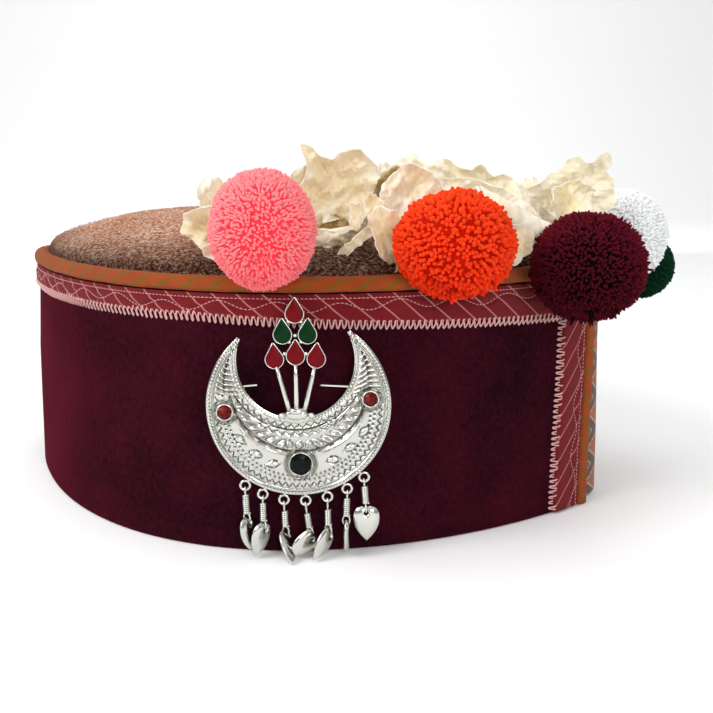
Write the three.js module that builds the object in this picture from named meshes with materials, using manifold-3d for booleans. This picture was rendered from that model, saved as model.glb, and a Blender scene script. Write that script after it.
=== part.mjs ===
// A pillbox cap from the western Himalaya: a brown wool wall and crown, a maroon velvet band folded up
// round it with a quilted red trim and an orange binding, a garland of papery seed wings and wool
// pompoms along the front edge, and a pressed silver crescent brooch with hanging hearts.
// Millimetres, +Z up, the cap stands on its hem. -Y is the side with the brooch.
import * as THREE from 'three';
import { mergeVertices } from 'three/addons/utils/BufferGeometryUtils.js';
import Module from 'manifold-3d';

const wasm = await Module();
wasm.setup();
const { Manifold, Mesh: SolidMesh } = wasm;

// Cap plan: an oval that still shows the fold in which the cap is stored
const capLength = 223; // along the fold line, over the velvet at the top edge
const capWidth = 170; // across the fold line
const tipShare = 0.66; // 0 is an ellipse, 1 is a lens with sharp ends
const capTurn = -23; // degrees from X to the fold line
const capHeight = 84; // hem to the top of the binding
const hemSpread = 2.8; // how much further out the cloth stands at the hem than at the top

// Cloth layers, from the outside in
const seam = 0.3; // clear space between two layers
const velvetThickness = 2.2;
const woolThickness = 2.6;
const trimThickness = 0.9;
const panelThickness = 1.0;
const crownThickness = 2.0;

// Red trim and orange binding round the velvet band
const trimHeight = 7.75; // under the binding, on the middle of the front
const trimDrop = 5.2; // the trim's lower edge is this much lower at the right tip than at the middle
const trimLeast = 5.8; // its least height, on the left
const trimEndWidth = 12.5; // the same trim down each end of the band
const bindingHeight = 4.7;
const bindingDepth = 5.4;

// Where the band ends, as angles round the plan in degrees. The patterned panel shows between them
const bandStart = -13;
const bandGapWidth = 50;

// Crown: height of the dome over the wall, at shares of the way from the edge to the middle
const domeHeight = 19;
const domeProfile = [
  { inward: 0, rise: 0 },
  { inward: 0.012, rise: 0.28 },
  { inward: 0.06, rise: 0.48 },
  { inward: 0.2, rise: 0.74 },
  { inward: 0.5, rise: 0.94 },
];

// Brooch: a crescent plate in its own frame, X to the right, Y up, Z away from the cloth
const broochAngle = -72.6; // round the plan, where the brooch's middle is
const broochHeight = 46.8; // its middle over the hem
const broochStandoff = 3.8; // from the velvet to the middle of the plate
const plateThickness = 1.2;
const outerRadius = 26.9;
const innerRadius = 17.1;
const innerCentre = { x: -0.8, y: 13.6 };
const hornBlunt = { outer: 4.5, inner: 6.5 }; // degrees that each arc stops short of the point where they cross
const rimWidth = 1.2;
const rimInset = 0.25; // from the plate's edge to the raised rim
const outerSteps = 30; // facets of the plate's two arcs
const innerSteps = 22;
const reliefHeight = 0.5;
const ridgeRadius = 21.2;
const ridgeCentre = { x: 0, y: 6.8 };
const ridgeWidth = 0.9;

// Round stones in their bezels
const stoneFit = 0.3; // clear space round a stone
const bezelWall = 0.7;
const bezelHeight = 1.3;
const stones = [
  // at: degrees round the plate; reach: share of the plate's radius
  { name: 'ruby_glass_left', at: -176.5, reach: 0.8, radius: 2.0, colour: 0x9c1f2a },
  { name: 'ruby_glass_right', at: 6.3, reach: 0.78, radius: 2.0, colour: 0x9c1f2a },
  { name: 'emerald_glass', at: -88.7, reach: 0.637, radius: 3.2, colour: 0x0b3a2a },
];

// Raised almond bosses: place round the plate, as for the stones, and the way that each points, in degrees
const bossLength = 4.2;
const bossWidth = 1.9;
const bosses = [
  { at: -151.6, reach: 0.735, along: -38 },
  { at: -132.6, reach: 0.702, along: -22 },
  { at: -114.6, reach: 0.695, along: 5 },
  { at: -57.8, reach: 0.698, along: 8 },
  { at: -39.1, reach: 0.719, along: 27 },
  { at: -21.3, reach: 0.758, along: 48 },
];

// Spray of six enamelled drops over three stems. up: share of a drop's length over the plate's inner edge
const dropWidth = 5.8;
const dropLength = 7.9;
const dropFrame = 0.5; // wall of the setting round the enamel
const sprayThickness = 1.3;
const enamelFit = 0.2;
const stemWidth = 1.5;
const sprayDrops = [
  { name: 'enamel_top', across: -0.02, up: 4.06, lean: 0, colour: 0x8e1226 },
  { name: 'enamel_upper_left', across: -0.63, up: 3.3, lean: 2, colour: 0x0c5a35 },
  { name: 'enamel_upper_right', across: 0.62, up: 3.3, lean: -2, colour: 0x0c5a35 },
  { name: 'enamel_lower_left', across: -1.05, up: 2.39, lean: 4, colour: 0xa3152a },
  { name: 'enamel_lower_middle', across: 0.01, up: 2.52, lean: 0, colour: 0xa3152a },
  { name: 'enamel_lower_right', across: 1.05, up: 2.4, lean: -4, colour: 0xa3152a },
];
const stems = [
  { from: { across: -0.33, up: 0.3 }, to: { across: -0.93, up: 2.06 } },
  { from: { across: 0.03, up: 0.3 }, to: { across: 0.01, up: 2.14 } },
  { from: { across: 0.43, up: 0.3 }, to: { across: 0.96, up: 2.06 } },
  { from: { across: 0, up: 2.95 }, to: { across: -0.02, up: 3.65 } },
];
const solderDots = [
  { across: -0.52, up: 2.44 },
  { across: 0.54, up: 2.44 },
  { across: 0, up: 3.11 },
];

// Hanging hearts: a ring soldered to the plate, a bound wire link and a heart, for each
const ringRadius = 1.4; // to the middle of the ring's wire
const ringStandoff = 0.6; // from the plate's edge to the ring's wire
const ringWire = 0.85;
const linkWire = 0.6;
const linkLoop = 1.05; // half width of a link's end loops
const linkSlack = 0.25; // clear space where a loop passes over a ring's wire
const linkReach = 1.6; // from a ring to the binding of its link
const linkBinding = 5.6; // length of the binding
const loopLength = 2.9; // of the lower loop, which holds the heart
const wrapRadius = 1.05;
const heartWidth = 7.8;
const heartLength = 10.6;
const heartThickness = 0.7;
const heartHole = 0.9;
const drops = [
  // at: degrees round the plate; reach, wrap, loop: shares of linkReach, linkBinding and loopLength.
  // sway: of the link, to the right; turn: of the heart, 0 face on and 90 edge on; lean: forward; roll: to the right
  { at: -124.0, reach: 1, wrap: 1.05, loop: 1, sway: 2, turn: 62, lean: 2, roll: 3 },
  { at: -112.4, reach: 0.94, wrap: 1, loop: 0.9, sway: 0, turn: 40, lean: 6, roll: -6 },
  { at: -99.5, reach: 1.44, wrap: 0.88, loop: 1.21, sway: 3, turn: 78, lean: 47, roll: 0 },
  { at: -86.7, reach: 1.75, wrap: 0.82, loop: 1.17, sway: 8, turn: 78, lean: 49, roll: -4 },
  { at: -73.6, reach: 1.75, wrap: 0.86, loop: 1.14, sway: 1, turn: 78, lean: 43, roll: -6 },
  { at: -61.0, reach: 1.06, wrap: 1, loop: 1, sway: -2, turn: 86, lean: 2, roll: 1 },
  { at: -48.8, reach: 1, wrap: 0.96, loop: 1, sway: 4, turn: 0, lean: 3, roll: -3 },
];

// Brooch pin: behind the plate, and through the velvet in the middle
const pinDiameter = 0.9;
const pinTunnel = 1.5;
const pinHeight = 5.3; // over the brooch's middle
const pinPath = [
  // across: share of the plate's radius; back: share of the standoff, from the plate's middle to the wire
  { across: -0.8, back: 0.33 },
  { across: -0.65, back: 0.79 },
  { across: -0.49, back: 1.32 },
  { across: -0.19, back: 1.3 },
  { across: 0.13, back: 1.3 },
  { across: 0.33, back: 0.97 },
  { across: 0.56, back: 0.58 },
  { across: 0.76, back: 0.33 },
];

// Wool pompoms. at: degrees round the plan; out: from the velvet; up: over the binding's top; shape: half
// sizes as shares of pompomRadius
const pompomRadius = 17;
const furGap = 0.3; // clear space between soft pieces that lean on each other
const pompoms = [
  { name: 'pompom_pink', at: -77.1, out: 6.3, up: 14, shape: [0.89, 0.88, 0.99], colour: 0xf4777f },
  { name: 'pompom_orange', at: -50.7, out: 7.3, up: 9, shape: [1.05, 0.94, 0.92], colour: 0xf0421b },
  { name: 'pompom_maroon', at: -29.2, out: 17, up: 2, shape: [1.01, 0.93, 0.96], colour: 0x6a1230 },
  { name: 'pompom_white', at: 14.2, out: 9.8, up: 6, shape: [0.92, 0.93, 0.95], colour: 0xeeecec },
  { name: 'pompom_green', at: 24.9, out: 26.4, up: -6.2, shape: [0.69, 0.72, 0.69], colour: 0x0a4a34 },
];

// Garland: each flower is a bunch of papery wings on a small core. at, out and up place the core as they do
// a pompom. A wing grows from its root, measured from the core, towards aim; its length and width are shares of
// wingLength. It bends by curl degrees along its length, waves at its edge and is turned by face degrees
const wingLength = 20;
const wingThickness = 0.9;
const coreRadius = [4.2, 3.6, 3.0];
const flowers = [
  {
    name: 'flower_far_left',
    core: { at: -86.4, out: -20.8, up: 11.5 },
    wings: [
      { root: [-1, -2, 1.5], aim: [-0.45, -0.2, 0.72], width: 0.6, curl: 20, wave: 1.6, face: 10 },
      { root: [-2, -3, 0.5], aim: [-0.6, -0.4, 0.05], width: 0.65, curl: 45, wave: 1.8, face: 55 },
      { root: [1, -4, 1.5], aim: [-0.4, -0.6, -0.2], width: 0.6, curl: 30, wave: 1.4, face: 70 },
    ],
  },
  {
    name: 'flower_left',
    core: { at: -66.8, out: -23.3, up: 11.5 },
    wings: [
      { root: [0, -1, 1.5], aim: [0, 0.1, 1.15], width: 1.35, curl: -12, wave: 2.2, face: 0 },
      { root: [2, -4, 1.5], aim: [0.05, -0.65, -0.2], width: 1, curl: 40, wave: 2.2, face: 80 },
      { root: [-4, 2, 3.5], aim: [-0.5, 0.4, 0.7], width: 0.85, curl: 15, wave: 2, face: 25 },
    ],
  },
  {
    name: 'flower_middle',
    core: { at: -54.4, out: -19.8, up: 11.5 },
    wings: [
      { root: [-2, -2, 5.5], aim: [-0.05, -0.65, -0.5], width: 0.6, curl: 70, wave: 2, face: 60 },
      { root: [1, 0, 2.5], aim: [0.05, 0.15, 0.95], width: 0.75, curl: 10, wave: 1.8, face: -10 },
      { root: [2, 4, 2.5], aim: [0.15, 0.6, 0.6], width: 0.95, curl: 25, wave: 2.2, face: 10 },
    ],
  },
  {
    name: 'flower_behind_orange',
    core: { at: -41.2, out: -18.2, up: 10.5 },
    wings: [
      { root: [-4, -1, 2.5], aim: [-0.15, 0.15, 1], width: 0.85, curl: 12, wave: 1.8, face: 8 },
      { root: [2, -1, 2.5], aim: [0.15, 0.2, 0.95], width: 1, curl: 20, wave: 2.4, face: -6 },
      { root: [5, -4, 2.5], aim: [0.6, -0.5, -0.3], width: 0.7, curl: 35, wave: 1.6, face: 65 },
    ],
  },
  {
    name: 'flower_right',
    core: { at: -26.5, out: -8.4, up: 8.5 },
    wings: [
      { root: [-3, -2, 3.5], aim: [-0.85, 0.1, 0.45], width: 0.65, curl: 10, wave: 1.4, face: 20 },
      { root: [1, -1, 2.5], aim: [0.35, 0.15, 0.95], width: 1.2, curl: 10, wave: 2.2, face: 0 },
      { root: [5, 0, 2.5], aim: [0.75, 0.05, 0.7], width: 0.85, curl: 25, wave: 2.2, face: 10 },
    ],
  },
  {
    name: 'flower_behind_white',
    core: { at: 19.9, out: -15, up: 8.5 },
    wings: [
      { root: [0, -2, 2.5], aim: [0.35, -0.2, 0.85], width: 0.85, curl: 15, wave: 2, face: 20 },
      { root: [-3, 2, 2.5], aim: [-0.4, 0.4, 0.65], width: 0.9, curl: 25, wave: 2.2, face: 35 },
      { root: [2, 3, 2.5], aim: [0.15, 0.7, 0.35], width: 0.8, curl: 30, wave: 2, face: 60 },
    ],
  },
];

const radians = THREE.MathUtils.degToRad;
const range = (count) => Array.from({ length: count }, (_, i) => i);
const mix = THREE.MathUtils.lerp;

// A point of the plan at angle degrees, moved outward from the velvet's outer face, at height z
function planPoint(angle, outward, z) {
  const a = radians(angle);
  const [c, s] = [Math.cos(a), Math.sin(a)];
  const [halfLength, halfWidth] = [capLength / 2, capWidth / 2];
  const x = halfLength * c;
  const y = halfWidth * s * (1 - tipShare + tipShare * Math.abs(s));
  const slope = new THREE.Vector2(-halfLength * s, halfWidth * c * (1 - tipShare + 2 * tipShare * Math.abs(s)));
  const normal = new THREE.Vector2(slope.y, -slope.x).normalize();
  const out = outward + hemSpread * (1 - z / capHeight);
  return new THREE.Vector3(x + normal.x * out, y + normal.y * out, z).applyAxisAngle(
    new THREE.Vector3(0, 0, 1),
    radians(capTurn),
  );
}

// The outward direction of the plan at angle degrees
function planNormal(angle) {
  return planPoint(angle, 1, capHeight).sub(planPoint(angle, 0, capHeight));
}

// The angle that lies width millimetres further round the plan
function angleAfter(angle, width) {
  const step = 0.25;
  let travelled = 0;
  let at = angle;
  while (travelled < Math.abs(width)) {
    const next = at + Math.sign(width) * step;
    travelled += planPoint(at, 0, 0).distanceTo(planPoint(next, 0, 0));
    at = next;
  }
  return at;
}

// A place given as degrees round the plan, outward from the velvet and up from the binding's top
function placeOnCap({ at, out, up }) {
  return planPoint(at, out, capHeight).setZ(capHeight + up);
}

// A closed mesh of points and triangles as a solid, whichever way its faces were wound
function solidOf(points, faces) {
  const vertProperties = new Float32Array(points.flatMap((p) => [p.x, p.y, p.z]));
  const make = (list) =>
    new Manifold(new SolidMesh({ numProp: 3, vertProperties, triVerts: new Uint32Array(list.flat()) }));
  const made = make(faces);
  return made.volume() < 0 ? make(faces.map(([a, b, c]) => [a, c, b])) : made;
}

// A three.js geometry as a solid
function solidOfGeometry(geometry) {
  const bare = geometry.clone();
  bare.deleteAttribute('normal');
  bare.deleteAttribute('uv');
  const merged = mergeVertices(bare, 1e-4);
  const position = merged.getAttribute('position');
  const points = range(position.count).map((i) => new THREE.Vector3().fromBufferAttribute(position, i));
  const index = merged.index.array;
  const faces = range(index.length / 3).map((i) => [index[3 * i], index[3 * i + 1], index[3 * i + 2]]);
  return solidOf(
    points,
    faces.filter(([a, b, c]) => a !== b && b !== c && c !== a),
  );
}

function moved(solid, matrix) {
  return solid.transform(matrix.elements);
}

function joined(solids) {
  return solids.reduce((all, one) => all.add(one));
}

// The largest of the separate bodies that a cut leaves
function mainBody(solid) {
  return solid.decompose().reduce((best, one) => (one.volume() > best.volume() ? one : best));
}

// Slivers that a cut or a join leaves, folded into the faces beside them
function tidied(solid, tolerance) {
  return solid.asOriginal().simplify(tolerance);
}

// A skin through sections of equally many points, closed round or capped at its ends
function loft(sections, closedRound) {
  const count = sections[0].length;
  const rings = sections.length;
  const faces = [];
  for (const i of range(closedRound ? rings : rings - 1)) {
    const next = (i + 1) % rings;
    for (const j of range(count)) {
      const k = (j + 1) % count;
      const [a, b, c, d] = [i * count + j, next * count + j, next * count + k, i * count + k];
      faces.push([a, b, c], [a, c, d]);
    }
  }
  if (!closedRound) {
    const last = (rings - 1) * count;
    for (const j of range(count - 2)) {
      faces.push([0, j + 1, j + 2], [last, last + j + 2, last + j + 1]);
    }
  }
  return solidOf(sections.flat(), faces);
}

// A piece of cloth wall that follows the plan between two angles
function clothWall({ from, to, steps, inner, outer, low, high }) {
  const closedRound = to - from >= 360;
  const angles = range(closedRound ? steps : steps + 1).map((i) => mix(from, to, i / steps));
  const sections = angles.map((angle) => {
    const [bottom, top] = [low(angle), high];
    return [
      planPoint(angle, inner, bottom),
      planPoint(angle, outer, bottom),
      planPoint(angle, outer, top),
      planPoint(angle, inner, top),
    ];
  });
  return loft(sections, closedRound);
}

const bandEnd = bandStart; // the band runs back to here, a full turn less the gap
const gapEnd = angleAfter(bandStart, bandGapWidth);
const bandTop = capHeight - bindingHeight;
const atHem = () => 0;
const atTrimFoot = () => 0.8; // the trim stops short of the hem, so the cap stands on its cloth
const woolOuter = -velvetThickness - seam;
const woolInner = woolOuter - woolThickness;
const bandSteps = 44;

// grow widens a layer on every side, to cut room for it out of what leans on it
function velvetBand(grow = 0) {
  return clothWall({
    from: gapEnd,
    to: 360 + bandEnd,
    steps: bandSteps,
    inner: -velvetThickness - grow,
    outer: grow,
    low: atHem,
    high: bandTop - seam,
  });
}

// The trim's lower edge slopes down from left to right
function trimLow(angle) {
  const across = planPoint(angle, 0, bandTop).x / (capLength / 2);
  return bandTop - Math.max(trimLeast, trimHeight + trimDrop * across);
}

function edgeTrim(grow = 0) {
  const layer = { inner: seam - grow, outer: seam + trimThickness + grow, high: bandTop - seam };
  const insideEnds = { start: angleAfter(gapEnd, trimEndWidth), end: angleAfter(360 + bandEnd, -trimEndWidth) };
  const pieces = [
    clothWall({ from: gapEnd, to: 360 + bandEnd, steps: bandSteps, low: trimLow, ...layer }),
    clothWall({ from: gapEnd, to: insideEnds.start, steps: 4, low: atTrimFoot, ...layer }),
    clothWall({ from: insideEnds.end, to: 360 + bandEnd, steps: 4, low: atTrimFoot, ...layer }),
  ];
  return tidied(joined(pieces), 0.03);
}

// The round section of the binding, across the cloth and along it
function bindingSection(depth, width, grow) {
  const sides = 8;
  return range(sides).map((i) => {
    const a = ((i + 0.5) / sides) * 2 * Math.PI;
    const squared = 0.78; // a circle's corners pushed out, as cloth rolled over an edge
    const push = (v) => Math.sign(v) * Math.abs(v) ** squared;
    return { across: push(Math.cos(a)) * (depth / 2 + grow), along: push(Math.sin(a)) * (width / 2 + grow) };
  });
}

const bindingMiddle = -velvetThickness / 2 + 0.35; // across the cloth, a little proud of its outer face
const uprightDepth = velvetThickness + seam + trimThickness + 0.6; // where it runs down a band's end
const uprightMiddle = uprightDepth / 2 - velvetThickness;
const uprightWidth = bindingHeight * 0.86;

function binding(grow = 0) {
  const section = bindingSection(bindingDepth, bindingHeight, grow);
  const uprightSection = bindingSection(uprightDepth, uprightWidth, grow);
  const middleHeight = capHeight - bindingHeight / 2;
  const endStart = angleAfter(gapEnd, -bindingHeight / 2);
  const endEnd = angleAfter(360 + bandEnd, bindingHeight / 2);
  const along = range(bandSteps + 1).map((i) => mix(endStart, endEnd, i / bandSteps));
  const top = loft(
    along.map((angle) => section.map((p) => planPoint(angle, bindingMiddle + p.across, middleHeight + p.along))),
    false,
  );
  const uprights = [endStart, endEnd].map((angle) => {
    const middle = planPoint(angle, 0, capHeight);
    const tangent = planPoint(angle + 0.5, 0, capHeight).sub(planPoint(angle - 0.5, 0, capHeight)).normalize();
    const normal = planNormal(angle);
    return loft(
      [0.3, capHeight * 0.5, middleHeight].map((z) => {
        const out = hemSpread * (1 - z / capHeight) + uprightMiddle;
        return uprightSection.map((p) =>
          middle
            .clone()
            .addScaledVector(normal, out + p.across)
            .addScaledVector(tangent, p.along)
            .setZ(z),
        );
      }),
      false,
    );
  });
  return tidied(joined([top, ...uprights]), 0.05);
}

// Brown wool wall inside the band
function woolWall() {
  return clothWall({
    from: 0,
    to: 360,
    steps: 48,
    inner: woolInner,
    outer: woolOuter,
    low: atHem,
    high: capHeight - bindingHeight,
  });
}

// Woven panel that shows between the two ends of the band
function patternPanel(grow = 0) {
  const gapInside = bindingHeight / 2 + 2.4;
  return clothWall({
    from: angleAfter(bandStart, gapInside),
    to: angleAfter(gapEnd, -gapInside),
    steps: 8,
    inner: woolOuter + seam - grow,
    outer: woolOuter + seam + panelThickness + grow,
    low: atHem,
    high: capHeight - bindingHeight,
  });
}

// The crown: a dome of cloth, hollow underneath, that stands on the wool wall
const crownEdge = bindingMiddle - bindingDepth / 2 - seam - 0.2; // just inside the binding
const crownFoot = capHeight - bindingHeight + seam;
const crownSteps = 36;

function domeRings(shrink, lower) {
  const angles = range(crownSteps).map((i) => (i / crownSteps) * 360);
  return domeProfile.map((row) =>
    angles.map((angle) => {
      const edge = planPoint(angle, crownEdge - shrink, capHeight);
      const share = 1 - row.inward;
      return new THREE.Vector3(edge.x * share, edge.y * share, crownFoot + Math.max(0, row.rise * domeHeight - lower));
    }),
  );
}

function dome(shrink, lower, foot) {
  const rings = domeRings(shrink, lower);
  rings[0] = rings[0].map((p) => new THREE.Vector3(p.x, p.y, foot));
  const points = rings.flat();
  const middle = points.push(new THREE.Vector3(0, 0, crownFoot + domeHeight - lower)) - 1;
  const base = points.push(new THREE.Vector3(0, 0, foot)) - 1;
  const faces = [];
  const last = (rings.length - 1) * crownSteps;
  for (const j of range(crownSteps)) {
    const k = (j + 1) % crownSteps;
    faces.push([base, k, j], [middle, last + j, last + k]);
    for (const i of range(rings.length - 1)) {
      const [a, b] = [i * crownSteps, (i + 1) * crownSteps];
      faces.push([a + j, a + k, b + k], [a + j, b + k, b + j]);
    }
  }
  return solidOf(points, faces);
}

function crown() {
  const deep = 5; // the hollow is cut from below the foot
  return dome(0, 0, crownFoot).subtract(dome(crownThickness, crownThickness, crownFoot - deep));
}

// A place on the plate: degrees round it, and a share of its radius
function onPlate({ at, reach }) {
  const radius = reach * outerRadius;
  return { x: radius * Math.cos(radians(at)), y: radius * Math.sin(radians(at)) };
}

// A place in the spray: shares of a drop's width across and of its length over the plate's inner edge
function inSpray({ across, up }) {
  return { x: innerCentre.x + across * dropWidth, y: innerCentre.y - innerRadius + up * dropLength };
}

// The points where the plate's two circles cross, as angles on each of them in degrees
function hornAngles(side) {
  const apart = Math.hypot(innerCentre.x, innerCentre.y);
  const along = (outerRadius ** 2 - innerRadius ** 2 + apart ** 2) / (2 * apart);
  const off = side * Math.sqrt(outerRadius ** 2 - along ** 2);
  const [ux, uy] = [innerCentre.x / apart, innerCentre.y / apart];
  const [x, y] = [along * ux - off * uy, along * uy + off * ux];
  const degrees = THREE.MathUtils.radToDeg;
  return {
    outer: degrees(Math.atan2(y, x)) + side * hornBlunt.outer,
    inner: degrees(Math.atan2(y - innerCentre.y, x - innerCentre.x)) + side * hornBlunt.inner,
  };
}

const hornLeft = hornAngles(1);
const hornRight = hornAngles(-1);
const ringReach = (outerRadius + ringStandoff + ringRadius) / outerRadius;
const rings = drops.map(({ at }) => onPlate({ at, reach: ringReach }));

// A flat outline in the brooch's plane, made thickness deep and centred on level
function slab(shape, thickness, level, curveSegments = 12) {
  const geometry = new THREE.ExtrudeGeometry(shape, { depth: thickness, bevelEnabled: false, curveSegments });
  return solidOfGeometry(geometry.translate(0, 0, level - thickness / 2));
}

function arcPoints(centre, radius, start, end, steps) {
  return range(steps + 1).map((i) => {
    const a = radians(mix(start, end, i / steps));
    return new THREE.Vector2(centre.x + radius * Math.cos(a), centre.y + radius * Math.sin(a));
  });
}

// The crescent between an outer and an inner arc, both moved in from the plate's edges by inset
function crescentShape(outerInset, innerInset) {
  return new THREE.Shape([
    ...arcPoints({ x: 0, y: 0 }, outerRadius - outerInset, hornLeft.outer, 360 + hornRight.outer, outerSteps),
    ...arcPoints(innerCentre, innerRadius + innerInset, hornRight.inner, hornLeft.inner - 360, innerSteps),
  ]);
}

function arcBand(centre, radius, width, start, end, steps) {
  return new THREE.Shape([
    ...arcPoints(centre, radius + width / 2, start, end, steps),
    ...arcPoints(centre, radius - width / 2, end, start, steps),
  ]);
}

// A drop with its point up: half a circle below, and straight sides that meet at the tip
function dropShape(width, length) {
  const radius = width / 2;
  const shoulder = 28; // degrees over the widest line where the round part ends
  const round = arcPoints({ x: 0, y: radius - length / 2 }, radius, 180 - shoulder, 360 + shoulder, 7);
  return new THREE.Shape([...round, new THREE.Vector2(0, length / 2)]);
}

function placed({ x = 0, y = 0, z = 0, turn = 0 }) {
  return new THREE.Matrix4().makeRotationZ(radians(turn)).setPosition(x, y, z);
}

const asVector = ({ x, y }) => new THREE.Vector2(x, y);
const plateFront = plateThickness / 2;
const sink = 0.2; // how deep a soldered piece is let into the plate

function bezel(stone) {
  const { radius } = stone;
  const inner = radius + stoneFit;
  const outer = inner + bezelWall;
  const profile = [
    [inner, -sink],
    [outer, -sink],
    [outer, bezelHeight * 0.6],
    [inner + bezelWall * 0.4, bezelHeight],
    [inner, bezelHeight],
    [inner, -sink],
  ].map(([r, h]) => new THREE.Vector2(r, h));
  const ring = new THREE.LatheGeometry(profile, 12).rotateX(Math.PI / 2);
  return moved(solidOfGeometry(ring), placed({ ...onPlate(stone), z: plateFront }));
}

// The room that a stone takes, down to the plate
function stoneWell(stone) {
  const { radius } = stone;
  const room = new THREE.CylinderGeometry(radius + stoneFit, radius + stoneFit, 4, 12).rotateX(Math.PI / 2);
  return moved(solidOfGeometry(room), placed({ ...onPlate(stone), z: plateFront + 2 }));
}

// A round stone with a table, a crown of facets and a flat back
function cutStone({ radius }) {
  const profile = [
    [0, 0],
    [radius * 0.8, 0],
    [radius, 0.45],
    [radius * 0.92, 0.8],
    [radius * 0.58, 1.35],
    [0, 1.35],
  ].map(([r, h]) => new THREE.Vector2(r, h));
  return solidOfGeometry(new THREE.LatheGeometry(profile, 12).rotateX(Math.PI / 2));
}

function boss(row) {
  const stretched = new THREE.SphereGeometry(1, 8, 4);
  stretched.scale(bossLength / 2, bossWidth / 2, reliefHeight + sink);
  return moved(solidOfGeometry(stretched), placed({ ...onPlate(row), z: plateFront, turn: row.along }));
}

function rod(from, to, diameter, level) {
  const start = new THREE.Vector3(from.x, from.y, level);
  const end = new THREE.Vector3(to.x, to.y, level);
  const path = new THREE.LineCurve3(start, end);
  const section = new THREE.Shape(arcPoints({ x: 0, y: 0 }, diameter / 2, 0, 300, 5));
  return solidOfGeometry(new THREE.ExtrudeGeometry(section, { steps: 1, extrudePath: path, bevelEnabled: false }));
}

function ball(x, y, radius, level) {
  return moved(solidOfGeometry(new THREE.SphereGeometry(radius, 6, 4)), placed({ x, y, z: level }));
}

// The soldered silver work: plate, rims, ridge, bosses, bezels, spray and rings, all one piece of metal
function broochBody() {
  const reliefDepth = reliefHeight + sink;
  const reliefLevel = plateFront - sink + reliefDepth / 2;
  const sprayLevel = plateFront + sprayThickness / 2 - 0.1;
  const plate = slab(crescentShape(0, 0), plateThickness, 0);
  const raised = (centre, radius, width, start, end, steps) =>
    slab(arcBand(centre, radius, width, start, end, steps), reliefDepth, reliefLevel);
  const rimMiddle = rimInset + rimWidth / 2;
  const plateCentre = { x: 0, y: 0 };
  const outerEnds = [hornLeft.outer, 360 + hornRight.outer, outerSteps];
  const outerRim = raised(plateCentre, outerRadius - rimMiddle, rimWidth, ...outerEnds);
  const innerEnds = [hornLeft.inner - 360, hornRight.inner, innerSteps];
  const innerRim = raised(innerCentre, innerRadius + rimMiddle, rimWidth, ...innerEnds);
  const ridge = raised(ridgeCentre, ridgeRadius, ridgeWidth, -154, -26, 14);
  const perDrop = (solid) =>
    sprayDrops.map((drop) => moved(solid, placed({ ...inSpray(drop), z: sprayLevel, turn: drop.lean })));
  const frames = perDrop(slab(dropShape(dropWidth, dropLength), sprayThickness, 0));
  const pocketDepth = sprayThickness * 0.6;
  const pocketShape = dropShape(dropWidth - 2 * dropFrame, dropLength - 3 * dropFrame);
  const pockets = perDrop(slab(pocketShape, 2, sprayThickness / 2 - pocketDepth + 1));
  const footOutline = [
    { across: -0.66, up: -0.18 },
    { across: 0.72, up: -0.18 },
    { across: 0.59, up: 0.39 },
    { across: -0.48, up: 0.39 },
  ];
  const foot = slab(new THREE.Shape(footOutline.map((p) => asVector(inSpray(p)))), 1.8, plateFront + 0.6);
  const footBall = (across) => {
    const { x, y } = inSpray({ across, up: 0.13 });
    return ball(x, y, 1.05, plateFront + 0.7);
  };
  const ringSolids = rings.map(({ x, y }) => {
    const ring = new THREE.TorusGeometry(ringRadius, ringWire / 2, 5, 10);
    return moved(solidOfGeometry(ring), placed({ x, y }));
  });
  // A short neck of solder joins each ring to the plate's edge
  const necks = rings.map(({ x, y }) => {
    const towards = new THREE.Vector2(x, y).normalize();
    const start = towards.clone().multiplyScalar(outerRadius - 0.6);
    const end = new THREE.Vector2(x, y).addScaledVector(towards, -ringRadius);
    return rod(start, end, 1.1, 0);
  });
  const relief = joined([outerRim, innerRim, ridge, ...bosses.map(boss)]).subtract(joined(stones.map(stoneWell)));
  const metal = joined([
    plate,
    relief,
    ...stones.map(bezel),
    ...stems.map(({ from, to }) => rod(inSpray(from), inSpray(to), stemWidth, sprayLevel)),
    foot,
    ...frames,
    ...solderDots.map(inSpray).map(({ x, y }) => ball(x, y, 1.05, sprayLevel - 0.1)),
    footBall(-0.71),
    footBall(0.78),
    ...ringSolids,
    ...necks,
  ]).subtract(joined(pockets));
  return mainBody(tidied(metal, 0.05)); // without the hollows that are closed in between soldered pieces
}

function enamel(drop) {
  const inset = dropFrame + enamelFit;
  const thickness = sprayThickness * 0.5;
  return slab(dropShape(dropWidth - 2 * inset, dropLength - 3 * inset), thickness, 0);
}

function pin(diameter) {
  const points = pinPath.map((p) => new THREE.Vector3(p.across * outerRadius, pinHeight, -p.back * broochStandoff));
  const path = new THREE.CatmullRomCurve3(points);
  const section = new THREE.Shape(arcPoints({ x: 0, y: 0 }, diameter / 2, 0, 300, 5));
  return solidOfGeometry(new THREE.ExtrudeGeometry(section, { steps: 14, extrudePath: path, bevelEnabled: false }));
}

function linkSizes({ reach, wrap, loop }) {
  return { reach: reach * linkReach, wrap: wrap * linkBinding, loop: loop * loopLength };
}

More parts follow.
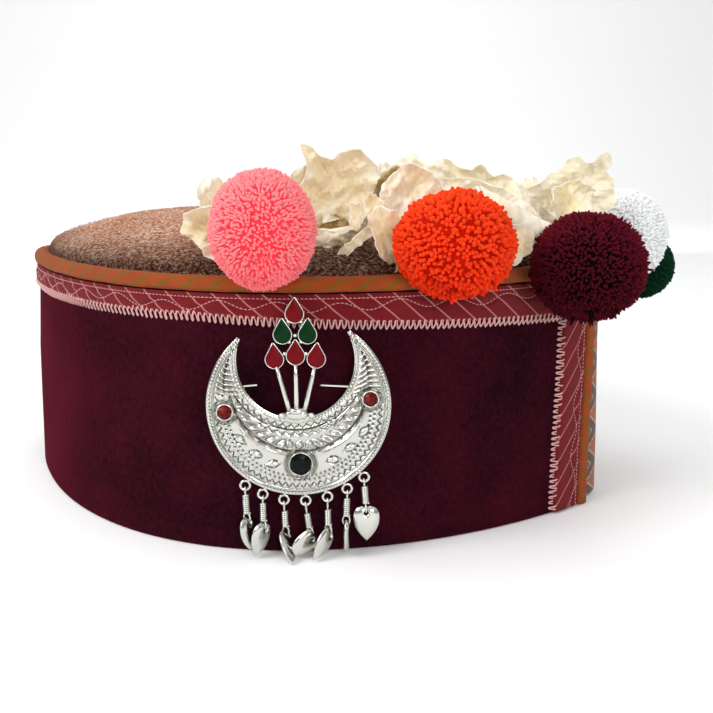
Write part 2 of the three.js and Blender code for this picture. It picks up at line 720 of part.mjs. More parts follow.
// A bound wire link, hanging from the origin, which is the middle of the ring's wire that it passes over
function link(row) {
  const { reach, wrap, loop } = linkSizes(row);
  const passHeight = ringWire / 2 + linkWire / 2 + linkSlack;
  const upperHalf = (passHeight + reach) / 2;
  const upper = new THREE.TorusGeometry(1, linkWire / 2, 5, 10);
  // the ring is stretched to an oval by moving its two halves apart, so its wire keeps its size
  const oval = (geometry, halfWidth, halfHeight) => {
    const position = geometry.getAttribute('position');
    for (const i of range(position.count)) {
      const p = new THREE.Vector3().fromBufferAttribute(position, i);
      const r = Math.hypot(p.x, p.y);
      const [ux, uy] = [p.x / r, p.y / r];
      position.setXYZ(i, ux * (halfWidth + r - 1), uy * (halfHeight + r - 1), p.z);
    }
    return geometry;
  };
  const upperLoop = oval(upper, linkLoop, upperHalf)
    .rotateY(Math.PI / 2)
    .translate(0, passHeight - upperHalf, 0);
  const wrapTop = -reach + 0.1;
  const turns = 3;
  const profile = [new THREE.Vector2(0, wrapTop)];
  for (const i of range(turns)) {
    const y = wrapTop - (i / turns) * wrap;
    profile.push(new THREE.Vector2(wrapRadius * 0.86, y), new THREE.Vector2(wrapRadius, y - wrap / turns / 2));
  }
  profile.push(new THREE.Vector2(wrapRadius * 0.86, wrapTop - wrap), new THREE.Vector2(0, wrapTop - wrap));
  const bound = new THREE.LatheGeometry(profile.reverse(), 6);
  const lowerLoop = oval(new THREE.TorusGeometry(1, linkWire / 2, 5, 10), linkLoop, loop / 2)
    .translate(0, wrapTop - wrap - loop / 2 + 0.15, 0)
    .rotateY(radians(row.turn + 90));
  return tidied(joined([upperLoop, bound, lowerLoop].map(solidOfGeometry)), 0.05);
}

// Distance from the ring's wire to the wire of the link's lower loop, where the heart hangs
function linkLength(row) {
  const { reach, wrap, loop } = linkSizes(row);
  return reach - 0.1 + wrap + loop - 0.15;
}

// A heart with a hole near its notch. The origin is the hole's middle
function heart() {
  const half = heartWidth / 2;
  const top = 1.9; // from the hole up to the lobes
  const tip = top - heartLength;
  const outline = new THREE.Shape();
  outline.moveTo(0, top - 0.35);
  outline.bezierCurveTo(half * 0.5, top + 0.4, half, top - 0.4, half, top - heartLength * 0.33);
  outline.bezierCurveTo(half, top - heartLength * 0.62, half * 0.35, tip + 1.6, 0, tip);
  outline.bezierCurveTo(-half * 0.35, tip + 1.6, -half, top - heartLength * 0.62, -half, top - heartLength * 0.33);
  outline.bezierCurveTo(-half, top - 0.4, -half * 0.5, top + 0.4, 0, top - 0.35);
  outline.holes.push(new THREE.Path(arcPoints({ x: 0, y: 0 }, heartHole, 0, 315, 7)));
  return slab(outline, heartThickness, 0, 4);
}

// A pompom: a ball of clipped yarn with a gently uneven outline
function pompom(row, grow = 0) {
  const radius = row.shape.map((share) => share * pompomRadius);
  const geometry = new THREE.SphereGeometry(1, 12, 9);
  const position = geometry.getAttribute('position');
  for (const i of range(position.count)) {
    const p = new THREE.Vector3().fromBufferAttribute(position, i);
    const uneven = 1 + 0.03 * Math.sin(5 * p.x + 3 * p.z) * Math.cos(4 * p.y - 2 * p.z);
    position.setXYZ(i, ...p.toArray().map((v, k) => v * (radius[k] * uneven + grow)));
  }
  return moved(solidOfGeometry(geometry), new THREE.Matrix4().setPosition(placeOnCap(row)));
}

// A papery wing: a thin sheet that widens, bends and waves
function wing(shape, core, grow) {
  const { curl, wave, face } = shape;
  const [lengthSteps, widthSteps] = [4, 4];
  const root = new THREE.Vector3(...shape.root).add(core);
  const aim = new THREE.Vector3(...shape.aim).multiplyScalar(wingLength);
  const length = aim.length() + grow;
  const width = shape.width * wingLength;
  const along = aim.clone().normalize();
  const toViewer = new THREE.Vector3(0, -1, 0);
  const side = new THREE.Vector3().crossVectors(along, toViewer).normalize();
  const front = new THREE.Vector3().crossVectors(side, along).normalize();
  side.applyAxisAngle(along, radians(face));
  front.applyAxisAngle(along, radians(face));
  const bend = radians(curl);
  const outline = (s) => Math.sin(Math.PI * Math.min(1, 0.1 + 0.72 * s ** 0.75)) ** 0.7;
  const surface = (s, t, lift) => {
    const turned = bend * s;
    const forward = Math.abs(bend) < 0.01 ? s : Math.sin(turned) / bend;
    const down = Math.abs(bend) < 0.01 ? 0 : (1 - Math.cos(turned)) / bend;
    const ruffle = wave * s * Math.sin(t * Math.PI * 1.5 + s * 3 + width);
    const across = t * ((width * outline(s)) / 2 + grow);
    return root
      .clone()
      .addScaledVector(along, forward * length)
      .addScaledVector(front, lift + ruffle + down * length)
      .addScaledVector(side, across);
  };
  const sheet = (lift) =>
    range(lengthSteps + 1).flatMap((i) =>
      range(widthSteps + 1).map((j) => surface(i / lengthSteps, (2 * j) / widthSteps - 1, lift)),
    );
  const points = [...sheet(wingThickness / 2 + grow), ...sheet(-wingThickness / 2 - grow)];
  const row = widthSteps + 1;
  const size = (lengthSteps + 1) * row;
  const faces = [];
  for (const i of range(lengthSteps)) {
    for (const j of range(widthSteps)) {
      const [a, b, c, d] = [i * row + j, (i + 1) * row + j, (i + 1) * row + j + 1, i * row + j + 1];
      faces.push([a, b, c], [a, c, d], [size + a, size + c, size + b], [size + a, size + d, size + c]);
    }
  }
  const rim = [
    ...range(widthSteps).map((j) => j),
    ...range(lengthSteps).map((i) => i * row + widthSteps),
    ...range(widthSteps).map((j) => lengthSteps * row + widthSteps - j),
    ...range(lengthSteps).map((i) => (lengthSteps - i) * row),
  ];
  rim.forEach((a, i) => {
    const b = rim[(i + 1) % rim.length];
    faces.push([a, size + b, size + a], [a, b, size + b]);
  });
  return solidOf(points, faces);
}

function flower({ core, wings }, grow = 0) {
  const heartOfFlower = new THREE.SphereGeometry(1, 8, 5).scale(...coreRadius.map((r) => r + grow));
  const place = placeOnCap(core);
  const middle = moved(solidOfGeometry(heartOfFlower), new THREE.Matrix4().setPosition(place));
  return joined([middle, ...wings.map((shape) => wing(shape, place, grow))]);
}

const cloth = (color, roughness = 0.9) => new THREE.MeshStandardMaterial({ color, roughness, metalness: 0 });
const materials = {
  wool: cloth(0x5b4237),
  velvet: cloth(0x3d0d20),
  redTrim: cloth(0xa42c3a, 0.7),
  orangeBinding: cloth(0xd9702f, 0.7),
  panel: cloth(0xc8672c, 0.8),
  paper: cloth(0xefe3c4, 0.6),
  silver: new THREE.MeshStandardMaterial({ color: 0xd9d9d2, roughness: 0.25, metalness: 1 }),
};

const cap = new THREE.Group();

function addPiece(parent, name, solid, material) {
  const { vertProperties, triVerts } = solid.getMesh();
  const geometry = new THREE.BufferGeometry();
  geometry.setAttribute('position', new THREE.BufferAttribute(vertProperties, 3));
  geometry.setIndex(new THREE.BufferAttribute(triVerts, 1));
  const flat = geometry.toNonIndexed();
  flat.computeVertexNormals();
  const mesh = new THREE.Mesh(flat, material);
  mesh.name = name;
  parent.add(mesh);
  return mesh;
}

// The brooch's group leans and turns with the cloth behind it
const lean = THREE.MathUtils.radToDeg(Math.atan(hemSpread / capHeight));
const broochNormal = planNormal(broochAngle);
const brooch = new THREE.Group();
brooch.position
  .copy(planPoint(broochAngle, 0, broochHeight))
  .addScaledVector(broochNormal, broochStandoff);
brooch.rotation.set(radians(90 - lean), 0, Math.atan2(broochNormal.x, -broochNormal.y), 'ZXY');
brooch.updateMatrix();
cap.add(brooch);

addPiece(cap, 'wool_wall', woolWall(), materials.wool);
addPiece(cap, 'crown', crown(), materials.wool);
addPiece(cap, 'velvet_band', velvetBand().subtract(moved(pin(pinTunnel), brooch.matrix)), materials.velvet);
addPiece(cap, 'edge_trim', edgeTrim(), materials.redTrim);
addPiece(cap, 'edge_binding', binding(), materials.orangeBinding);
addPiece(cap, 'pattern_panel', patternPanel(), materials.panel);

addPiece(brooch, 'brooch_body', broochBody(), materials.silver);
addPiece(brooch, 'brooch_pin', pin(pinDiameter), materials.silver);
for (const stone of stones) {
  const glass = new THREE.MeshStandardMaterial({ color: stone.colour, roughness: 0.1, metalness: 0 });
  const mesh = addPiece(brooch, stone.name, cutStone(stone), glass);
  const { x, y } = onPlate(stone);
  mesh.position.set(x, y, plateFront + stoneFit);
}
for (const drop of sprayDrops) {
  const glaze = new THREE.MeshStandardMaterial({ color: drop.colour, roughness: 0.25, metalness: 0 });
  const mesh = addPiece(brooch, drop.name, enamel(drop), glaze);
  const { x, y } = inSpray(drop);
  mesh.position.set(x, y, plateFront + sprayThickness * 0.82);
  mesh.rotation.z = radians(drop.lean);
}
drops.forEach((drop, i) => {
  const hanging = new THREE.Group();
  hanging.position.set(rings[i].x, rings[i].y - ringRadius, 0);
  hanging.rotation.z = radians(drop.sway);
  brooch.add(hanging);
  addPiece(hanging, `link_${i + 1}`, link(drop), materials.silver);
  const mesh = addPiece(hanging, `heart_${i + 1}`, heart(), materials.silver);
  mesh.position.set(0, -linkLength(drop), 0);
  mesh.rotation.set(radians(-drop.lean), radians(drop.turn), radians(drop.roll), 'XZY');
});

// Soft pieces are hollowed where they lean on the cap, and each wing where it touches a pompom
const capRoom = tidied(
  joined([
    velvetBand(furGap),
    edgeTrim(furGap),
    binding(furGap),
    patternPanel(furGap),
    dome(-furGap, -furGap, crownFoot - seam),
  ]),
  0.05,
);
const pompomSolids = [];
for (const row of pompoms) {
  let solid = pompom(row).subtract(capRoom);
  for (const other of pompomSolids) {
    solid = solid.subtract(other.room);
  }
  pompomSolids.push({ row, solid: mainBody(tidied(mainBody(solid), 0.1)), room: pompom(row, furGap) });
}
for (const { row, solid } of pompomSolids) {
  addPiece(cap, row.name, solid, cloth(row.colour));
}
const taken = [capRoom, ...pompomSolids.map(({ room }) => room)];
for (const row of flowers) {
  let solid = flower(row);
  for (const room of taken) {
    solid = solid.subtract(room);
  }
  solid = mainBody(tidied(mainBody(solid), 0.15));
  addPiece(cap, row.name, solid, materials.paper);
  taken.push(flower(row, furGap));
}

// The part's origin is the middle of its bounding box, at the hem
const box = new THREE.Box3().setFromObject(cap, true);
const middle = box.getCenter(new THREE.Vector3());
cap.position.set(-middle.x, -middle.y, -box.min.z);

export default cap;
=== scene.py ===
"""Looks for the himachali cap: cloth, yarn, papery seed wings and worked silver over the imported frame."""

import math

import bmesh
import bpy
import numpy as np
from bpy.props import FloatProperty, FloatVectorProperty, IntProperty, PointerProperty
from mathutils import Matrix, Vector


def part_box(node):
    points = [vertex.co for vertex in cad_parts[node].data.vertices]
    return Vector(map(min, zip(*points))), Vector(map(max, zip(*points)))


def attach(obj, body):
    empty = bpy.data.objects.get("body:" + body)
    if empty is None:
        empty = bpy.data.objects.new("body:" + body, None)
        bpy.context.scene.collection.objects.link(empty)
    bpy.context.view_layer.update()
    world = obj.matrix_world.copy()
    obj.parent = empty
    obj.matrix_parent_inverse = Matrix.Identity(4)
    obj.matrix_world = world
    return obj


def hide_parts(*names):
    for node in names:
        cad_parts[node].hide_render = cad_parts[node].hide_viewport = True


bl_info = {
    "name": "Himachali Cap", "version": (1, 0, 0), "blender": (4, 5, 0),
    "location": "View3D > Sidebar > Cap",
    "description": "Dresses a packed himachali cap in cloth, yarn, papery wings and silver",
    "category": "Object",
}

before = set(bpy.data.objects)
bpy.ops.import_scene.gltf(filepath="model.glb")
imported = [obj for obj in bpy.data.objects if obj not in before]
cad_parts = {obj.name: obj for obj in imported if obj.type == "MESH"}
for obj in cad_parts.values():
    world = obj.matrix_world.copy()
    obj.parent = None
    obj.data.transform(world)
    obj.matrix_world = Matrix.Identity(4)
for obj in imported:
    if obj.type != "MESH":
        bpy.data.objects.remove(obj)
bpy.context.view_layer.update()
MM = 0.001
UNIT = 10  # millimetres to one unit of a cloth's UV map


def linear(code):
    """An sRGB hex colour as linear red, green, blue and alpha."""
    channels = [int(code[i : i + 2], 16) / 255 for i in (1, 3, 5)]
    return [c / 12.92 if c <= 0.04045 else ((c + 0.055) / 1.055) ** 2.4 for c in channels] + [1.0]


def add(tree, kind, inputs=None, **settings):
    """Adds a node with its settings, and fills or links its inputs by name or number."""
    node = tree.nodes.new(kind)
    for key, value in settings.items():
        setattr(node, key, value)
    for key, value in (inputs or {}).items():
        if isinstance(value, bpy.types.NodeSocket):
            tree.links.new(value, node.inputs[key])
        else:
            node.inputs[key].default_value = value
    return node


def finish_named(name):
    """A material with an empty node tree."""
    made = bpy.data.materials.new(name)
    made.use_nodes = True
    made.node_tree.nodes.clear()
    return made, made.node_tree


def shade(made, **inputs):
    """Ends a material in a Principled shader, whose inputs are given with _ for each space."""
    named = {key.replace("_", " "): value for key, value in inputs.items()}
    shader = add(made.node_tree, "ShaderNodeBsdfPrincipled", named)
    add(made.node_tree, "ShaderNodeOutputMaterial", {"Surface": shader.outputs[0]})
    return made


def ramp(tree, factor, stops, interpolation="LINEAR"):
    """A colour ramp through (place, hex colour) stops."""
    node = add(tree, "ShaderNodeValToRGB", {"Fac": factor})
    node.color_ramp.interpolation = interpolation
    elements = node.color_ramp.elements
    while len(elements) < len(stops):
        elements.new(1.0)
    for element, (place, code) in zip(elements, stops):
        element.position = place
        element.color = linear(code)
    return node.outputs["Color"]


def maths(tree, operation, *values):
    return add(tree, "ShaderNodeMath", dict(enumerate(values)), operation=operation).outputs[0]


def mixed(tree, factor, first, second):
    return add(tree, "ShaderNodeMix", {0: factor, 6: first, 7: second}, data_type="RGBA").outputs[2]


def coordinates(tree, kind="Object"):
    return add(tree, "ShaderNodeTexCoord").outputs[kind]


def attribute(tree, name, output="Fac"):
    return add(tree, "ShaderNodeAttribute", attribute_name=name).outputs[output]


def noise(tree, place, scale, detail=2.0, roughness=0.5):
    """Cloudy noise from 0 to 1, mostly near 0.5."""
    inputs = {"Vector": place, "Scale": scale, "Detail": detail, "Roughness": roughness}
    return add(tree, "ShaderNodeTexNoise", inputs).outputs["Fac"]


def threads(tree, place, scale, direction, distortion=0.6):
    """Soft bands side by side, as threads in cloth."""
    inputs = {"Vector": place, "Scale": scale, "Distortion": distortion}
    return add(tree, "ShaderNodeTexWave", inputs, bands_direction=direction).outputs["Fac"]


def bumped(tree, height, strength, distance):
    """The surface's normal over a height, where distance is in metres."""
    inputs = {"Height": height, "Strength": strength, "Distance": distance}
    return add(tree, "ShaderNodeBump", inputs).outputs[0]


def cloth_colour(name):
    return list(getattr(bpy.context.scene.cloth_colours, name)) + [1.0]


def circle(count, start=0.0):
    """Even turns round a circle, in radians."""
    return np.linspace(start, start + 2 * np.pi, count, endpoint=False)


def sphere(turns, levels):
    """Directions all over a ball, with a row for each turn that runs from pole to pole."""
    turn, level = circle(turns)[:, None], np.linspace(0, np.pi, levels)
    way = np.cos(turn) * np.sin(level), np.sin(turn) * np.sin(level), np.cos(level)
    return np.stack(np.broadcast_arrays(*way), -1)


def place_object(name, mesh):
    made = bpy.data.objects.new(name, mesh)
    bpy.context.scene.collection.objects.link(made)
    return made


def uv_grid(u, v):
    return np.stack(np.meshgrid(u, v, indexing="ij"), -1)


def skin(name, points, uv=None, close_u=False, close_v=True, last_cap=True):
    """A mesh over a grid of points in metres. uv is a grid too, one longer along a closed direction. Open
    ends of a closed tube are capped, but the last one only with last_cap."""
    points = np.asarray(points, float)
    rows, columns = points.shape[:2]
    steps = np.arange(rows if close_u else rows - 1), np.arange(columns if close_v else columns - 1)
    i, j = (index.ravel() for index in np.meshgrid(*steps, indexing="ij"))
    k, m = (i + 1) % rows, (j + 1) % columns
    faces = np.stack([i * columns + j, k * columns + j, k * columns + m, i * columns + m], 1)
    caps = []
    if close_v and not close_u:
        caps = [list(range(columns))]
        caps += [[(rows - 1) * columns + c for c in reversed(range(columns))]] if last_cap else []
    mesh = bpy.data.meshes.new(name)
    mesh.from_pydata(points.reshape(-1, 3).tolist(), [], faces.tolist() + caps)
    if uv is not None:
        loops = np.stack([uv[i, j], uv[i + 1, j], uv[i + 1, j + 1], uv[i, j + 1]], 1).reshape(-1, 2)
        spare = np.zeros((len(mesh.loops) - len(loops), 2))
        layer = mesh.uv_layers.new(name="UVMap")
        layer.data.foreach_set("uv", np.concatenate([loops, spare]).astype(np.float32).ravel())
    mesh.shade_smooth()
    return mesh


def mark(mesh, name, values, kind="FLOAT"):
    """Stores values on a mesh's points."""
    field = "vector" if kind == "FLOAT_VECTOR" else "value"
    data = mesh.attributes.new(name, kind, "POINT").data
    data.foreach_set(field, np.asarray(values, np.float32).ravel())
    return mesh


def merged(name, meshes):
    """Several meshes as one object, with their attributes and UVs kept."""
    parts = [place_object(f"{name}_part", mesh) for mesh in meshes]
    with bpy.context.temp_override(
        active_object=parts[0], object=parts[0], selected_objects=parts, selected_editable_objects=parts
    ):
        bpy.ops.object.join()
    parts[0].name = name
    parts[0].data.name = name
    return parts[0]


def turn_outwards(mesh, merge=True):
    """Makes all faces of a closed mesh point out, and with merge closes its poles first."""
    work = bmesh.new()
    work.from_mesh(mesh)
    if merge:
        bmesh.ops.remove_doubles(work, verts=work.verts, dist=1e-7)
        bmesh.ops.delete(work, geom=[e for e in work.edges if not e.link_faces], context="EDGES")
    bmesh.ops.recalc_face_normals(work, faces=work.faces)
    work.to_mesh(mesh)
    work.free()
    return mesh


def baked(made):
    """Turns an object's modifiers into its plain mesh."""
    graph = bpy.context.evaluated_depsgraph_get()
    mesh = bpy.data.meshes.new_from_object(
        made.evaluated_get(graph), preserve_all_data_layers=True, depsgraph=graph,
    )
    made.modifiers.clear()
    made.data = mesh
    return made


def dress_cad(node, material):
    """Gives a CAD node that stays as it is a better material."""
    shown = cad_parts[node]
    shown.data.materials.clear()
    shown.data.materials.append(material)


def dress(made, material, slot, *nodes):
    """Gives a finished piece its material, its place in the frame and the CAD nodes that it stands for."""
    if material:
        made.data.materials.clear()
        made.data.materials.append(material)
    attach(made, "root")
    if nodes:
        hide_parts(*nodes)
    return made


def paths_mesh(name, paths):
    """Chains of points in metres as a mesh of edges. A path is (points, closed)."""
    points, edges = [], []
    for chain, closed in paths:
        first = len(points)
        points += [tuple(p) for p in chain]
        edges += [(first + i, first + i + 1) for i in range(len(chain) - 1)]
        if closed:
            edges.append((len(points) - 1, first))
    mesh = bpy.data.meshes.new(name)
    mesh.from_pydata(points, edges, [])
    return mesh


def node_tree(name, inputs):
    """An empty geometry tree. inputs has the default of each named input, or its type if it has none."""
    tree = bpy.data.node_groups.new(name, "GeometryNodeTree")
    tree.interface.new_socket("Geometry", in_out="INPUT", socket_type="NodeSocketGeometry")
    for label, default in inputs.items():
        kind = default if isinstance(default, str) else type(default).__name__.title()
        socket = tree.interface.new_socket(label, in_out="INPUT", socket_type=f"NodeSocket{kind}")
        if kind != default:
            socket.default_value = default
    tree.interface.new_socket("Geometry", in_out="OUTPUT", socket_type="NodeSocketGeometry")
    return tree, add(tree, "NodeGroupInput").outputs


def end_tree(tree, geometry, material):
    """Realises, smooths and paints the geometry, and sends it out."""
    real = add(tree, "GeometryNodeRealizeInstances", {0: geometry})
    smooth = add(tree, "GeometryNodeSetShadeSmooth", {0: real.outputs[0]})
    painted = add(
        tree, "GeometryNodeSetMaterial", {"Geometry": smooth.outputs[0], "Material": material},
    )
    add(tree, "NodeGroupOutput", {0: painted.outputs[0]})
    return tree


def through_tree(made, tree, **values):
    """Runs an object through a geometry tree, with inputs given by name, and keeps the result."""
    modifier = made.modifiers.new(tree.name, "NODES")
    modifier.node_group = tree
    wanted = {key.replace("_", " "): value for key, value in values.items()}
    for item in tree.interface.items_tree:
        if item.item_type == "SOCKET" and item.in_out == "INPUT" and item.name in wanted:
            modifier[item.identifier] = wanted[item.name]
    return baked(made)


def curve_of(tree, given):
    return add(tree, "GeometryNodeMeshToCurve", {"Mesh": given["Geometry"]}).outputs[0]


def even_points(tree, given):
    """Points along every path of the mesh that comes in, a pitch apart."""
    inputs = {"Curve": curve_of(tree, given), "Length": given["Pitch"]}
    return add(tree, "GeometryNodeResampleCurve", inputs, mode="LENGTH").outputs[0]


def on_points(tree, points, instance, **placing):
    inputs = {"Points": points, "Instance": instance, **placing}
    return add(tree, "GeometryNodeInstanceOnPoints", inputs).outputs[0]


def thread_tree():
    """A round thread or wire along every path of a mesh."""
    tree, given = node_tree("Thread along a path", {"Radius": 0.0003, "Sides": 6, "Finish": "Material"})
    round_wire = {"Resolution": given["Sides"], "Radius": given["Radius"]}
    profile = add(tree, "GeometryNodeCurvePrimitiveCircle", round_wire).outputs[0]
    inputs = {"Curve": curve_of(tree, given), "Profile Curve": profile, "Fill Caps": True}
    return end_tree(tree, add(tree, "GeometryNodeCurveToMesh", inputs).outputs[0], given["Finish"])


def stitch_tree():
    """Single stitches, one after the other along every path of a mesh."""
    inputs = {"Pitch": 0.0026, "Stitch": "Object", "Seed": 3, "Finish": "Material"}
    tree, given = node_tree("Running stitch", inputs)
    points = even_points(tree, given)
    stitch = add(tree, "GeometryNodeObjectInfo", {"Object": given["Stitch"]}).outputs["Geometry"]
    tangent = add(tree, "GeometryNodeInputTangent").outputs[0]
    along = add(tree, "FunctionNodeAlignRotationToVector", {"Vector": tangent}, axis="X").outputs[0]
    spread = {2: 0.82, 3: 1.12, "Seed": given["Seed"]}
    length = add(tree, "FunctionNodeRandomValue", spread, data_type="FLOAT").outputs[1]
    size = add(tree, "ShaderNodeCombineXYZ", {0: length, 1: 1.0, 2: 1.0}).outputs[0]
    return end_tree(tree, on_points(tree, points, stitch, Rotation=along, Scale=size), given["Finish"])


def tuft_tree():
    """Cut ends of yarn, or loose fibres, on points that carry their direction, length and tone."""
    inputs = {"Yarn end": "Object", "Thickness": 1.0, "Seed": 11, "Finish": "Material"}
    tree, given = node_tree("Yarn ends", inputs)
    direction, length, tone = (
        add(tree, "GeometryNodeInputNamedAttribute", {"Name": name}, data_type=kind).outputs[0]
        for name, kind in (("direction", "FLOAT_VECTOR"), ("length", "FLOAT"), ("tone", "FLOAT"))
    )
    end = add(tree, "GeometryNodeObjectInfo", {"Object": given["Yarn end"]}).outputs["Geometry"]
    upright = add(tree, "FunctionNodeAlignRotationToVector", {"Vector": direction}, axis="Z").outputs[0]
    any_turn = {2: 0.0, 3: 6.28, "Seed": given["Seed"]}
    twist = add(tree, "FunctionNodeRandomValue", any_turn, data_type="FLOAT").outputs[1]
    spin = add(tree, "FunctionNodeAxisAngleToRotation", {"Angle": twist}).outputs[0]
    both = {"Rotation": upright, "Rotate By": spin}
    turned = add(tree, "FunctionNodeRotateRotation", both, rotation_space="LOCAL").outputs[0]
    scale = {0: given["Thickness"], 1: given["Thickness"], 2: length}
    size = add(tree, "ShaderNodeCombineXYZ", scale).outputs[0]
    laid = on_points(tree, given["Geometry"], end, Rotation=turned, Scale=size)
    for name, value, kind in (("tone", tone, "FLOAT"), ("way", direction, "FLOAT_VECTOR")):
        inputs = {"Geometry": laid, "Name": name, "Value": value}
        laid = add(
            tree, "GeometryNodeStoreNamedAttribute", inputs, data_type=kind, domain="INSTANCE",
        ).outputs[0]
    return end_tree(tree, laid, given["Finish"])


def bead_tree():
    """Small beads of silver in a row along every path of a mesh."""
    inputs = {"Pitch": 0.0009, "Bead radius": 0.0004, "Finish": "Material"}
    tree, given = node_tree("Beaded edge", inputs)
    points = even_points(tree, given)
    round_bead = {"Segments": 8, "Rings": 5, "Radius": given["Bead radius"]}
    bead = add(tree, "GeometryNodeMeshUVSphere", round_bead).outputs[0]
    return end_tree(tree, on_points(tree, points, bead), given["Finish"])


class CapSizes(bpy.types.PropertyGroup):
    """Sizes of the cap's cloth."""

    top_length: FloatProperty(
        name="Length", description="Along the fold line at the top edge", default=0.223, unit="LENGTH",
    )
    top_width: FloatProperty(
        name="Width", description="Across the fold line", default=0.170, unit="LENGTH",
    )
    tip_share: FloatProperty(
        name="Tips", description="0 is an ellipse, 1 a lens with sharp ends", default=0.66,
    )
    fold_turn: FloatProperty(
        name="Turn", description="From X to the fold line", default=math.radians(-23), subtype="ANGLE",
    )
    height: FloatProperty(
        name="Height", description="Hem to the top of the binding", default=0.084, unit="LENGTH",
    )
    hem_spread: FloatProperty(
        name="Spread", description="How much wider the hem stands", default=0.0028, unit="LENGTH",
    )
    band_start: FloatProperty(
        name="Band end", description="Where the band ends, round the plan", default=math.radians(-13),
        subtype="ANGLE",
    )
    gap_width: FloatProperty(
        name="Gap", description="Between the band's ends", default=0.050, unit="LENGTH",
    )
    trim_height: FloatProperty(
        name="Trim", description="Height of the red trim", default=0.0081, unit="LENGTH",
    )
    trim_drop: FloatProperty(
        name="Trim drop", description="How much lower it is at the tip", default=0.0048, unit="LENGTH",
    )
    trim_least: FloatProperty(
        name="Least trim", description="Its least height, on the left", default=0.0068, unit="LENGTH",
    )
    binding_height: FloatProperty(
        name="Binding", description="Height of the orange binding", default=0.0047, unit="LENGTH",
    )
    dome_height: FloatProperty(
        name="Dome", description="Crown over its edge", default=0.019, unit="LENGTH",
    )


class ClothColours(bpy.types.PropertyGroup):
    """Colours of the cloth and the yarn, as linear values."""

    velvet: FloatVectorProperty(
        name="Velvet", description="Deep in the pile", subtype="COLOR", default=linear("#19050c")[:3],
    )
    red: FloatVectorProperty(
        name="Red trim", description="Ground of the trim", subtype="COLOR",
        default=linear("#88151f")[:3],
    )
    orange: FloatVectorProperty(
        name="Binding", description="Ground of the binding", subtype="COLOR",
        default=linear("#b4551a")[:3],
    )
    thread: FloatVectorProperty(
        name="Thread", description="Sewing thread", subtype="COLOR", default=linear("#d9a5a0")[:3],
    )


class PompomSizes(bpy.types.PropertyGroup):
    """Sizes of the pompoms' yarn."""

    radius: FloatProperty(
        name="Radius", description="Of a full-size pompom", default=0.017, unit="LENGTH",
    )
    yarn_ends: IntProperty(name="Yarn ends", description="On a full-size pompom", default=2600)
    yarn_width: FloatProperty(
        name="Yarn", description="Width of a cut end", default=0.0011, unit="LENGTH",
    )


class BroochSizes(bpy.types.PropertyGroup):
    """Sizes of the silver brooch."""

    outer_radius: FloatProperty(
        name="Plate", description="Outer radius of the crescent", default=0.0269, unit="LENGTH",
    )
    inner_radius: FloatProperty(
        name="Mouth", description="Inner radius of the crescent", default=0.0171, unit="LENGTH",
    )
    standoff: FloatProperty(
        name="Standoff", description="Velvet to the plate's middle", default=0.0038, unit="LENGTH",
    )
    drop_width: FloatProperty(
        name="Drop width", description="Of an enamelled drop", default=0.0058, unit="LENGTH",
    )
    drop_length: FloatProperty(
        name="Drop length", description="Of an enamelled drop", default=0.0079, unit="LENGTH",
    )
    heart_width: FloatProperty(
        name="Heart width", description="Of a hanging heart", default=0.0078, unit="LENGTH",
    )
    heart_length: FloatProperty(
        name="Heart length", description="Of a hanging heart", default=0.0106, unit="LENGTH",
    )


